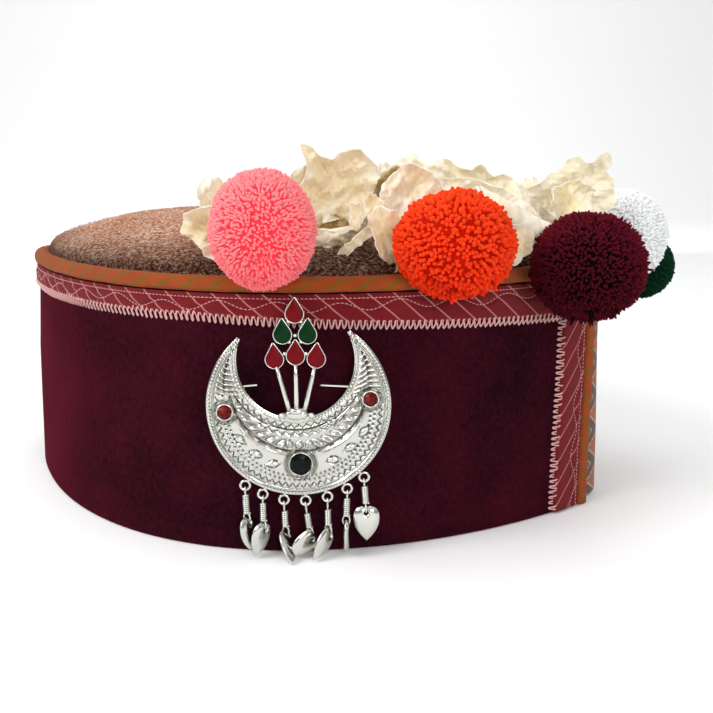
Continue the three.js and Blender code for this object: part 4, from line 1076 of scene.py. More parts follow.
# Each pompom has its node, degrees round the plan, how far out and up in mm, half sizes as shares of the
# radius, the yarn's width, how uneven the ends are, and the colours of its yarn, from the painted shade at
# the roots to the tips, with the strength of its painted glow
POMPOMS = [
    ("pompom_pink", -77.1, 6.3, 14, (0.89, 0.88, 0.99), 0.64, 0.03,
        ("#f23a4c", "#ff565e", "#ff8488", 0.12)),
    ("pompom_orange", -50.7, 7.3, 9, (1.04, 0.94, 0.92), 1.08, 0.05,
        ("#a81200", "#e4220a", "#fb3c16", 0.02)),
    ("pompom_maroon", -29.2, 17, 1.2, (1.02, 0.93, 0.97), 0.66, 0.055,
        ("#060101", "#100204", "#460a18")),
    ("pompom_white", 14.2, 9.8, 6, (0.92, 0.93, 0.95), 0.7, 0.035,
        ("#d6d4d4", "#f2f1f0", "#fdfcfb", 0.04)),
    ("pompom_green", 24.9, 26.6, -6.6, (0.71, 0.74, 0.72), 0.8, 0.03,
        ("#000a05", "#02180c", "#052a18")),
]
YARN_LENGTH = 4.4
YARN_PROFILE = ((0, 0.36), (0.84, 0.6), (1.0, 0.3))  # (height, radius) rows: it swells towards its tip
FIBRE_PROFILE = ((0, 0.075), (0.5, 0.07), (1, 0.03))
CORE_SHARE = 0.935  # of the yarn's reach
WAY_JITTER, LEAN_JITTER = 0.03, 0.12
OVER_BINDING = 0.4  # above this the yarn is free of the cap
YARN_CLEAR, CORE_CLEAR = 2.4, 2.6  # from the velvet, below that


class CAP_OT_pompoms(bpy.types.Operator):
    """Makes the five wool pompoms"""

    bl_idname = "cap.pompoms"
    bl_label = "Pompoms"

    def execute(self, context):
        plan = cap_plan()
        sizes = context.scene.pompom_sizes
        radius = sizes.radius / MM
        source = np.random.default_rng(21)
        tree = tuft_tree()
        places = {}
        for name, at, out, up, shape, yarn, uneven, colours in POMPOMS:
            centre = plan.at(at, out, plan.height, True) / MM + [0, 0, up]
            half = np.array(shape) * radius
            places[name] = (centre, half)
            count = int(sizes.yarn_ends * np.prod(half / radius) ** (2 / 3) / yarn**1.6)
            turn = np.arange(count) * math.pi * (3 - math.sqrt(5))
            level = 1 - 2 * (np.arange(count) + 0.5) / count
            flat = np.sqrt(1 - level**2)
            way = np.stack([np.cos(turn) * flat, np.sin(turn) * flat, level], 1)
            way += source.normal(0, WAY_JITTER, way.shape)
            way /= np.linalg.norm(way, axis=1, keepdims=True)
            clump = np.sin(6 * way[:, 0] + 4 * way[:, 2]) * np.cos(7 * way[:, 1] - 3 * way[:, 2] + at)
            reach = 1 + uneven * (0.5 * clump + source.normal(0, 0.45, count))
            if uneven >= 0.05:  # a few ends were missed by the scissors, and one strand hangs below
                reach[source.choice(count, 16)] += source.uniform(0.05, 0.14, 16)
                reach[np.argsort(way @ [-0.1, -0.66, -0.74])[-3:]] += 0.24
            tips = centre + way * half * reach[:, None]
            lengths = YARN_LENGTH * source.uniform(0.9, 1.1, count)
            lengths += np.maximum(reach - 1.08, 0) * radius
            lean = way + source.normal(0, LEAN_JITTER, way.shape)
            lean /= np.linalg.norm(lean, axis=1, keepdims=True)
            keep = self.clear_of_cap(plan, tips) & self.clear_of_others(tips, name, places)
            roots = (tips - lean * lengths[:, None])[keep]
            tone = np.clip(0.5 + 0.25 * clump + source.normal(0, 0.22, count), 0, 1)[keep]
            end = place_object("yarn_end", yarn_end_mesh(4, YARN_PROFILE, sizes.yarn_width / MM * yarn))
            dye = name.split("_")[1]
            finish = yarn_finish(f"cut_wool_yarn_{dye}", *colours)
            tufts = place_object(
                f"{name}_yarn", points_mesh(name, roots * MM, lean[keep], lengths[keep], tone),
            )
            through_tree(tufts, tree, Yarn_end=end, Finish=finish)
            bpy.data.objects.remove(end)
            dress(tufts, None, f"{dye}_yarn", name)
            core = place_object(f"{name}_core", self.core(plan, centre, half * CORE_SHARE))
            dress(core, finish, f"{dye}_yarn")
        return {"FINISHED"}

    def clear_of_cap(self, plan, points):
        """Whether each point is outside the band and the binding."""
        outward = distance_out(plan, points)
        return (outward > YARN_CLEAR) | (points[:, 2] > plan.height + OVER_BINDING)

    def clear_of_others(self, points, name, places):
        clear = np.ones(len(points), bool)
        for other, (centre, half) in places.items():
            if other != name:
                clear &= (((points - centre) / half) ** 2).sum(1) > 0.96
        return clear

    def core(self, plan, centre, half):
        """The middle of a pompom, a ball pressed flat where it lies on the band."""
        way = sphere(36, 20)
        points = (centre + way * half).reshape(-1, 3)
        outward = distance_out(plan, points)
        low = points[:, 2] < plan.height + OVER_BINDING
        press = np.where(low & (outward < CORE_CLEAR), CORE_CLEAR - outward, 0)
        away = (centre - plan.centre * [1, 1, 0]) * [1, 1, 0]
        points += press[:, None] * away / np.linalg.norm(away)
        return turn_outwards(skin("core", points.reshape(way.shape) * MM, close_u=True, close_v=False))


def distance_out(plan, points):
    """How far each point, in mm, is outside the velvet, and less than 0 inside it."""
    angles = np.linspace(0, 360, 900, endpoint=False)
    line = plan.at(angles, 0, 40, True) / MM
    normal = plan.normal(angles)
    gap = points[:, None, :2] - line[None, :, :2]
    nearest = np.argmin((gap**2).sum(2), 1)
    rows = np.arange(len(points))
    side = (gap[rows, nearest] * normal[nearest, :2]).sum(1)
    return side + plan.spread * (0.52 - (1 - points[:, 2] / plan.height))


# Papery wings that face forward. Each has its flower, its depth from the cap's middle, how far its top
# leans back, how much it is cupped and curled, and corners across and up, in mm, on its ragged edge. A wing
# that is not cupped at all is a patch of painted shade, toned dark brown
PETALS = [
    ("flower_far_left", -60, 0.2, 2.0, 1.0, [(-30.5, 108), (-28, 111.5), (-24, 111.5), (-20, 108),
        (-17, 100), (-22, 93), (-29, 99)]),
    ("flower_far_left", -66, 0.3, 2.5, 1.4, [(-35.5, 96), (-33.5, 101), (-29, 103), (-22, 103),
        (-15, 98), (-18, 90), (-26, 89.5), (-31, 92.5)]),
    ("flower_far_left", -74, 0.6, 1.5, 1.0, [(-28.5, 91), (-24, 94), (-16, 93), (-16, 87.5),
        (-23, 87.6), (-27.5, 89)]),
    ("flower_left", -55, 0.1, 1.5, 1.0, [(-1, 113), (3, 115.5), (12, 116), (14, 104), (6, 96), (-4, 97),
        (-4, 106)]),
    ("flower_left", -60, -0.1, 3.0, 1.2, [(1.3, 121.5), (4.7, 120.8), (7, 118), (11, 116.5),
        (13.1, 119), (16.4, 119.8), (19.4, 120.4), (20.4, 118), (25.5, 114.8), (24, 108), (22.5, 102),
        (20, 97), (13, 98.5), (6, 97), (0, 100), (0.5, 108), (3.4, 113.7)]),
    ("flower_left", -70, -0.5, -2.5, 1.6, [(3, 97), (10, 95.8), (16, 96), (20.5, 98.5), (22, 94),
        (16.5, 90.5), (9.5, 90.5), (3, 91)]),
    ("flower_left", -75, -0.6, 0.8, 0.8, [(20.9, 98), (22.3, 95), (16.5, 90.2), (13.6, 87.8),
        (11.6, 88.4), (12.6, 90.8), (16.5, 94)]),
    ("flower_left", -72, 0.2, 0.8, 0.8, [(15.6, 104.2), (19.6, 104.4), (18.9, 96.2), (15.9, 96.2)]),
    ("flower_middle", -57, 0.1, -2.5, 1.0, [(22.2, 108.5), (26.5, 112.5), (32.4, 116.8), (36.6, 119.4),
        (40, 116), (46.7, 116.8), (46, 107), (42, 100), (32, 96), (23, 98)]),
    ("flower_middle", -58.6, 0.1, 0, 0.5, [(23, 108.5), (27, 112.6), (30.5, 115), (35, 113.5),
        (34, 107), (27, 104)]),
    ("flower_left", -61.5, 0.1, 0, 0.5, [(4, 98), (9, 100.6), (14, 100.2), (17, 97), (11, 94),
        (5, 94)]),
    ("flower_middle", -66, 0.3, 3.5, 1.4, [(24.6, 107.5), (28, 111.6), (32.6, 115.6), (37, 115),
        (41, 113), (45, 107.5), (44, 100.5), (36, 97), (28.5, 99.5), (25, 102)]),
    ("flower_middle", -74, 0.1, 1.5, 1.6, [(21.2, 107.5), (25.4, 105.4), (26.4, 101), (24, 95.5),
        (21, 98.5), (19.8, 104)]),
    ("flower_middle", -79, -0.42, 2.2, 1.4, [(20, 101), (23, 104), (28, 103), (31, 97.7), (31.6, 91),
        (30.6, 85.5), (28.9, 83.4), (27.2, 86.6), (24.6, 88.4), (22.6, 93)]),
    ("flower_behind_orange", -51, 0.2, 2.0, 1.4, [(42, 115.8), (45.1, 116.8), (48.6, 117), (52, 114),
        (55.8, 113.3), (58.5, 115.6), (60.5, 114.5), (62.7, 111), (66.7, 112.4), (71, 109.8),
        (71.5, 104), (65, 99), (54, 98), (45, 101)]),
    ("flower_behind_orange", -58, 0.4, 2.5, 1.5, [(45, 111), (55, 111), (64, 108), (72, 104),
        (77, 98.5), (72, 92), (60, 91), (48, 93)]),
    ("flower_right", -50, 0.1, 2.5, 1.2, [(74.4, 107.9), (80.5, 111), (85.3, 113.3), (88, 117.4),
        (90.9, 118), (92.5, 115.4), (96.2, 115.6), (97.6, 119.4), (101.4, 118.4), (102, 115),
        (99.4, 112.8), (102.3, 110.9), (103.4, 104), (99.4, 98), (89.6, 93), (81.3, 92), (75.2, 97)]),
    ("flower_right", -59, 0.4, 3.0, 1.6, [(80, 108), (88.5, 110.6), (94, 107.3), (91.2, 101.2),
        (83.5, 96), (78, 101)]),
    ("flower_behind_orange", -75.5, -0.1, 2.0, 1.6, [(61, 98), (66.2, 98.3), (69.8, 95.8), (70.6, 92.5),
        (68.8, 88.5), (65.2, 85.6), (62.6, 86.6), (60.5, 91.4)]),
]

# Wings that stand behind them. Each has its flower, its root and tip, its width, and how much it cups
# across, bends forward along its length, ruffles, turns about its length and rolls its edges
WINGS = [
    ("flower_far_left", (-20, -60, 96), (-24, -48, 106), 15, 0.5, -2, 1.6, 25, 0.3),
    ("flower_far_left", (-17, -60, 95), (-10, -55, 108), 14, 0.4, 2, 1.4, -10, 0.2),
    ("flower_left", (11, -57, 95), (8, -44, 114), 24, 0.4, -3, 1.8, 0, 0.2),
    ("flower_left", (7, -60, 96), (-4, -50, 110), 17, 0.5, 2, 1.8, 25, 0.3),
    ("flower_middle", (30, -56, 96), (28, -42, 112), 22, 0.5, -4, 1.6, 4, 0.3),
    ("flower_middle", (36, -57, 97), (44, -47, 114), 17, 0.5, 2, 2.0, 20, 0.3),
    ("flower_behind_orange", (50, -54, 95), (48, -38, 110), 22, 0.4, 1, 1.9, 8, 0.2),
    ("flower_behind_orange", (60, -52, 96), (66, -40, 108), 20, 0.4, 2, 2.0, -6, 0.2),
    ("flower_right", (82, -48, 95), (80, -34, 108), 20, 0.4, 2, 1.9, 0, 0.2),
    ("flower_right", (90, -48, 95), (98, -38, 112), 20, 0.5, 1, 1.8, 6, 0.3),
    ("flower_behind_white", (88, -32, 93), (95, -34, 112), 17, 0.5, 2, 1.8, 20, 0.3),
    ("flower_behind_white", (85, -26, 93), (77, -18, 108), 18, 0.5, 3, 2.0, 35, 0.3),
    ("flower_behind_white", (90, -25, 93), (93, -11, 101), 16, 0.5, 3, 2.0, 60, 0.3),
]

# Wings rolled into a tube. Each has its flower, its two ends and its radius
ROLLS = [
    ("flower_right", (54.5, -65, 105), (80, -68, 92.5), 3.9),
    ("flower_behind_orange", (44, -56, 104), (60, -60, 101), 2.6),
    ("flower_left", (3, -68, 93), (20, -66, 95), 2.2),
]


def crumple(across, up, phase):
    """Depth of sharp creases, as in paper that was crushed and pulled flat again."""
    depth = 0
    for k, (length, size) in enumerate(((8.5, 0.9), (5.3, 0.6), (3.1, 0.36), (1.9, 0.2))):
        c, s = math.cos(phase[k] * 1.7), math.sin(phase[k] * 1.7)
        depth = depth + size * triangle_wave((across * c + up * s) / length + phase[k + 3])
        depth = depth + size * 0.6 * triangle_wave((across * s - up * c) / length / 1.4 + phase[k])
    return depth * 0.95


def petal_mesh(name, plan, depth, lean, cup, curl, corners, source):
    """One wing whose ragged edge passes through its corners."""
    phase = source.uniform(0, 6.28, 9)
    ring = np.array(corners + corners[:1], float)
    step = np.concatenate([[0], np.cumsum(np.linalg.norm(np.diff(ring, axis=0), axis=1))])
    even = np.linspace(0, step[-1], 101)[:-1]
    edge = np.stack([np.interp(even, step, ring[:, k]) for k in (0, 1)], 1)
    edge = (np.roll(edge, 1, 0) + 2 * edge + np.roll(edge, -1, 0)) / 4
    middle = edge.mean(0)
    around = circle(len(edge))
    ragged = sum(np.sin(k * around + phase[k % 9]) / k for k in (7, 11, 17, 23, 31)) * 1.6
    away = edge - middle
    edge = edge + away / np.linalg.norm(away, axis=1, keepdims=True) * ragged[:, None] * 0.9
    share = np.linspace(0, 1, 16) ** 0.8
    share[0] = 0.02
    flat = middle + (edge - middle)[None] * share[:, None, None]
    size = np.linalg.norm(away, axis=1).mean()
    back = lean * (flat[..., 1] - middle[1]) - cup * (share[:, None] ** 2)
    back = back + crumple(flat[..., 0], flat[..., 1], phase)
    flutter = 0.6 + np.sin(3 * around + phase[5]) + 0.7 * np.sin(7 * around + phase[6])
    back -= curl * share[:, None] ** 5 * flutter
    back *= min(1.0, size / 7)
    points = np.stack([flat[..., 0], depth + back, flat[..., 1]], -1) + plan.centre * [1, 1, 0]
    uv = uv_grid(share, np.linspace(0, 1, len(edge) + 1))
    # an uncupped wing is a painted-shade patch: its tone of -1.4 darkens it to brown
    return toned(skin(name, points * MM, uv, last_cap=False), source.uniform(0, 1) if cup else -1.4)


def toned(mesh, tone):
    """Gives a whole mesh one tone."""
    return mark(mesh, "tone", np.full(len(mesh.vertices), tone))


def roll_mesh(name, plan, start, end, radius, source):
    """One wing rolled up along its length."""
    start, end = (np.array(q, float) + plan.centre * [1, 1, 0] for q in (start, end))
    way = (end - start) / np.linalg.norm(end - start)
    side = np.cross(way, [0, 1, 0])
    side /= np.linalg.norm(side)
    other = np.cross(way, side)
    phase = source.uniform(0, 6.28, 9)
    s, t = np.linspace(0, 1, 40)[:, None], np.linspace(0, 1, 60)[None]
    turn = 0.6 + t * 2 * np.pi * 1.35
    length = np.linalg.norm(end - start)
    crease = crumple(s * length, t * radius * 8, phase) * 0.45
    reach = radius * (1.12 - 0.38 * t + 0.12 * np.sin(3.3 * s + phase[0])) + crease * 0.6
    ends = 0.06 * np.sin(5 * turn + phase[1]) + 0.05 * triangle_wave(t * 3 + phase[2])
    ends = ends * np.where(s > 0.5, 1, -1)
    along = (s + ends * abs(2 * s - 1) ** 3) * length
    points = start + along[..., None] * way
    points = points + (np.cos(turn) * reach)[..., None] * side
    points = points + (np.sin(turn) * reach)[..., None] * other
    return toned(skin(name, points * MM, uv_grid(s[:, 0], t[0]), close_v=False), 0.7)


def wing_mesh(name, plan, root, tip, width, cup, bend, ruffle, face, roll, source):
    """One wing that widens from its root to a torn tip."""
    rows, columns = 28, 22
    s = np.linspace(0, 1, rows)[:, None]
    t = np.linspace(-1, 1, columns)[None]
    root, tip = (np.array(q, float) + plan.centre * [1, 1, 0] for q in (root, tip))
    way = tip - root
    length = np.linalg.norm(way)
    way /= length
    side = np.cross(way, [0, -1, 0])
    side /= np.linalg.norm(side)
    front = np.cross(side, way)
    q = math.radians(face)
    side, front = side * math.cos(q) + front * math.sin(q), front * math.cos(q) - side * math.sin(q)
    phase = source.uniform(0, 6.28, 9)
    spread = 0.2 + 0.8 * np.sin(np.pi * np.clip(0.08 + 0.72 * s**0.8, 0, 1)) ** 0.8
    edge = sum(triangle_wave(k * 0.6 * s + phase[k % 8] + (t > 0) * 2) for k in (2, 3, 5, 8)) * 0.04
    notch = sum(triangle_wave(k * 0.4 * t + phase[(k + 3) % 8]) for k in (1, 2, 4, 7)) * 0.04
    across = t * (spread + edge * s) * width / 2
    reach = s * length * (1 + (notch - 0.12 * t**2) * s**2)
    wave = ruffle * s**1.2 * np.sin(5.5 * s + 4.2 * t + phase[0]) * 0.6 * abs(t)
    cupped = -cup * width * 0.3 * (t**2) * (0.4 + 0.6 * s)
    rolled = roll * 1.6 * np.clip((abs(t) - 0.75) / 0.25, 0, 1) ** 2 * s
    lift = wave + crumple(across, reach, phase) * s**0.5 + cupped
    lift = lift + rolled * np.sin(phase[4] + 2 * s) - bend * s**2
    narrowing = 1 - 0.25 * min(cup, 1.6) * (t**2)[..., None]
    points = root + reach[..., None] * way + across[..., None] * side * narrowing
    points = points + lift[..., None] * front
    made = skin(name, points * MM, uv_grid(s[:, 0], np.linspace(0, 1, columns)), close_v=False)
    return toned(made, source.uniform(0, 1))


class CAP_OT_flower_garland(bpy.types.Operator):
    """Makes the garland of papery seed wings"""

    bl_idname = "cap.flower_garland"
    bl_label = "Flower garland"

    def execute(self, context):
        plan = cap_plan()
        source = np.random.default_rng(5)
        finish = paper_finish()
        for flower in dict.fromkeys(row[0] for row in PETALS + WINGS):
            meshes = [petal_mesh(flower, plan, *row[1:], source) for row in PETALS if row[0] == flower]
            meshes += [wing_mesh(flower, plan, *row[1:], source) for row in WINGS if row[0] == flower]
            meshes += [roll_mesh(flower, plan, *row[1:], source) for row in ROLLS if row[0] == flower]
            made = merged(f"{flower}_wings", meshes)
            thick = made.modifiers.new("Paper", "SOLIDIFY")
            thick.thickness = 0.0003
            thick.offset = 0
            baked(made)
            made.data.shade_smooth()
            made.data.set_sharp_from_angle(angle=math.radians(15))
            dress(made, finish, "paper_wing", flower)
        return {"FINISHED"}


BROOCH_AT = (-72.6, 46.8)  # degrees round the plan, and height over the hem in mm
MOUTH = np.array([-0.8, 13.6])  # middle of the plate's inner edge
HORN_BLUNT = (4.5, 6.5)
PLATE = 1.2
SPRAY_LEVEL = PLATE / 2 + 0.55
BEAD_PITCH, BEAD_RADIUS, BEAD_INSET = 0.00105, 0.00042, 0.62
# Each stone has its degrees round the plate, its reach as a share of the plate's radius, its own radius in
# mm and how wide its collar is. The almond bosses have their degrees, reach and turn
STONES = [(-176.5, 0.8, 2.0, 0.85), (6.3, 0.78, 2.0, 0.85), (-88.7, 0.637, 3.2, 0.62)]
BOSSES = [
    (-151.6, 0.735, -38), (-132.6, 0.702, -22), (-114.6, 0.695, 5), (-57.8, 0.698, 8),
    (-39.1, 0.719, 27), (-21.3, 0.758, 48),
]
# The enamelled drops have their node, their place across and up in drop sizes and their lean in degrees,
# and the stems their two ends in the same sizes
DROPS = [
    ("enamel_top", -0.02, 4.06, 0),
    ("enamel_upper_left", -0.63, 3.3, 2),
    ("enamel_upper_right", 0.62, 3.3, -2),
    ("enamel_lower_left", -1.05, 2.39, 4),
    ("enamel_lower_middle", 0.01, 2.52, 0),
    ("enamel_lower_right", 1.05, 2.4, -4),
]
STEMS = [((-0.33, 0.3), (-0.93, 1.96)), ((0.03, 0.3), (0.01, 2.05)), ((0.43, 0.3), (0.96, 1.96))]
HANGING = [
    # degrees round the plate; shares of reach, binding and loop; sway, turn, lean and roll in degrees
    (-124.0, 1, 1.05, 1, 2, 62, 2, 3),
    (-112.4, 0.94, 1, 0.9, 0, 46, 6, -16),
    (-99.5, 1.44, 0.88, 1.21, 3, 60, 42, 10),
    (-86.7, 1.75, 0.82, 1.17, 8, 60, 38, -56),
    (-73.6, 1.75, 0.86, 1.14, 1, 66, 34, -32),
    (-61.0, 1.06, 1, 1, -2, 86, 2, 1),
    (-48.8, 1, 0.96, 1, 4, 0, 3, -3),
]
RING, RING_WIRE, RING_STANDOFF = 1.4, 0.85, 0.6
LINK_WIRE, LINK_LOOP, LINK_SLACK = 0.6, 1.05, 0.25
LINK_REACH, LINK_BINDING, LOOP_LENGTH, WRAP_RADIUS = 1.6, 5.6, 2.9, 1.05


class Brooch:
    """The brooch's own frame in millimetres: X to the right, Y up and Z away from the cloth."""

    def __init__(self):
        plan = cap_plan()
        sizes = bpy.context.scene.brooch_sizes
        self.outer = sizes.outer_radius / MM
        self.inner = sizes.inner_radius / MM
        self.drop = np.array([sizes.drop_width, sizes.drop_length]) / MM
        self.heart = np.array([sizes.heart_width, sizes.heart_length]) / MM
        angle, height = BROOCH_AT
        normal = Vector(plan.normal(angle))
        lean = math.atan(plan.spread / plan.height)
        self.matrix = (
            Matrix.Translation(Vector(plan.at(angle, 0, height, True)) + normal * sizes.standoff)
            @ Matrix.Rotation(math.atan2(normal.x, -normal.y), 4, "Z")
            @ Matrix.Rotation(math.radians(90) - lean, 4, "X") @ Matrix.Scale(MM, 4)
        )

    def horn(self, side):
        """Where the two edges meet on one side, as degrees round each, a little short of the point."""
        apart = np.hypot(*MOUTH)
        along = (self.outer**2 - self.inner**2 + apart**2) / (2 * apart)
        off = side * math.sqrt(self.outer**2 - along**2)
        unit = MOUTH / apart
        x, y = along * unit[0] - off * unit[1], along * unit[1] + off * unit[0]
        return (
            math.degrees(math.atan2(y, x)) + side * HORN_BLUNT[0],
            math.degrees(math.atan2(y - MOUTH[1], x - MOUTH[0])) + side * HORN_BLUNT[1],
        )

    def on_plate(self, degrees, reach):
        q = math.radians(degrees)
        return np.array([math.cos(q), math.sin(q)]) * reach * self.outer

    def in_spray(self, across, up):
        return np.array([MOUTH[0] + across * self.drop[0], MOUTH[1] - self.inner + up * self.drop[1]])

    def ring_at(self, degrees):
        """The middle of the ring that a link hangs in."""
        return self.on_plate(degrees, (self.outer + RING_STANDOFF + RING) / self.outer)

    def drop_at(self, across, up, lean):
        """The place of an enamelled drop's setting."""
        turn = Matrix.Rotation(math.radians(lean), 4, "Z")
        return Matrix.Translation((*self.in_spray(across, up), SPRAY_LEVEL)) @ turn

    def put(self, mesh, matrix=None):
        """Moves a mesh, made in millimetres, to the brooch's place."""
        mesh.transform(self.matrix @ (matrix or Matrix.Identity(4)))
        return mesh


def triangle_wave(x):
    return 2 * abs((x % 1) * 2 - 1) - 1


def relief(brooch, x, y):
    """Height of the chased and pressed pattern over the plate, in mm, and how much tarnish lies in it."""
    far, close = np.hypot(x, y), np.hypot(x - MOUTH[0], y - MOUTH[1])
    rim, lip = brooch.outer - far, close - brooch.inner
    width = rim + lip
    round_outer = np.arctan2(y, x) * brooch.outer
    round_inner = np.arctan2(y - MOUTH[1], x - MOUTH[0]) * brooch.inner
    share = np.clip(rim / np.maximum(width, 0.01), 0, 1)
    dome = (4 * share * (1 - share)) ** 0.7 * np.clip(width / 9, 0, 1)
    lower = 1 / (1 + np.exp((y - 4) * 1.2))  # 1 on the belly and 0 on the horns

    def line(distance, thickness):
        return np.exp(-((distance / thickness) ** 2))

    pattern = np.zeros_like(x)
    pattern += 0.3 * line(rim - 1.35, 0.22) - 0.18 * line(rim - 1.9, 0.25)
    pattern -= 0.34 * line(rim - 3.0 - 0.62 * triangle_wave(round_outer / 2.35), 0.3) * lower
    for depth, turn in ((4.7, 0.0), (5.9, 0.5)):
        dots = line((round_outer / 1.8 + turn) % 1 - 0.5, 0.21)
        pattern -= 0.45 * dots * line(rim - depth, 0.38) * lower
    pattern += 0.25 * line(lip - 1.3, 0.22)
    pattern -= 0.34 * line(lip - 2.4 - 0.42 * triangle_wave(round_inner / 2.1), 0.26) * lower
    pattern -= 0.4 * line(lip - 3.3, 0.2) * lower
    # a band of leaves between two arcs that run from stone to stone
    arc = np.hypot(x, y - 6.8)
    around = np.arctan2(x, -(y - 6.8)) * 19
    band = lower * (lip > 3.4)
    pattern += 0.5 * line(arc - 21.2, 0.45) * band - 0.35 * line(arc - 20.2, 0.4) * band
    leaf = around / 3.3 - (arc - 18.3) * 0.22 * np.sign(around)
    leaves = line((leaf % 1) - 0.5, 0.27) * line(arc - 18.3, 1.25)
    pattern += (0.95 * leaves - 0.3) * line(arc - 18.3, 1.5) * band * (abs(around) > 4.2)
    second = lip - 4.5 - 0.4 * triangle_wave(round_inner / 2.1 + 0.5)
    pattern -= 0.3 * line(second, 0.25) * lower * (arc < 16.6)
    # three round bosses between the leaves
    for middle in (-2.9, 0.0, 2.9):
        away = np.hypot(x - middle, y + 11.3 - 0.03 * middle**2)
        boss = 0.75 * np.sqrt(np.clip(1 - (away / 1.15) ** 2, 0, 1)) - 0.2
        pattern = np.where(away < 1.3, boss, pattern)
    # braided strokes on the horns
    strokes = (round_outer / 1.75 + 1.9 * abs(share - 0.5)) % 1 - 0.5
    braid = line(strokes, 0.25) - 0.5 * line(share - 0.5, 0.045)
    inside = np.clip((rim - 2.0) / 0.5, 0, 1) * np.clip((lip - 1.6) / 0.5, 0, 1)
    pattern += 0.55 * (braid - 0.5) * (1 - lower) * inside
    for degrees, reach, way in BOSSES:
        at, q = brooch.on_plate(degrees, reach), math.radians(way)
        u = (x - at[0]) * math.cos(q) + (y - at[1]) * math.sin(q)
        v = (y - at[1]) * math.cos(q) - (x - at[0]) * math.sin(q)
        shape = (u / 2.15) ** 2 + (v / (0.98 * np.maximum(0.15, 1 - (u / 2.4) ** 2))) ** 2
        pattern = np.where(shape < 1.25, pattern * np.clip((shape - 0.9) / 0.35, 0, 1), pattern)
        pattern += 0.62 * np.sqrt(np.clip(1 - shape, 0, 1)) - 0.34 * line(np.sqrt(shape) - 1.14, 0.12)
    height = dome + 1.25 * pattern
    hollow = np.clip(0.08 - pattern * 3.0, 0, 1)
    hollow = np.maximum(hollow, 0.5 * band * line(arc - 18.4, 1.6) * (1 - leaves))
    for degrees, reach, radius, _ in STONES:
        at = brooch.on_plate(degrees, reach)
        away = np.hypot(x - at[0], y - at[1])
        seat = np.clip((away - radius - 0.6) / 0.9, 0, 1)
        height = height * seat
        hollow = np.maximum(hollow, line(away - radius - 1.5, 0.5) * 0.8)
    edge = np.clip(np.minimum(rim, lip) / 0.35, 0, 1) ** 0.5
    return height * edge, hollow


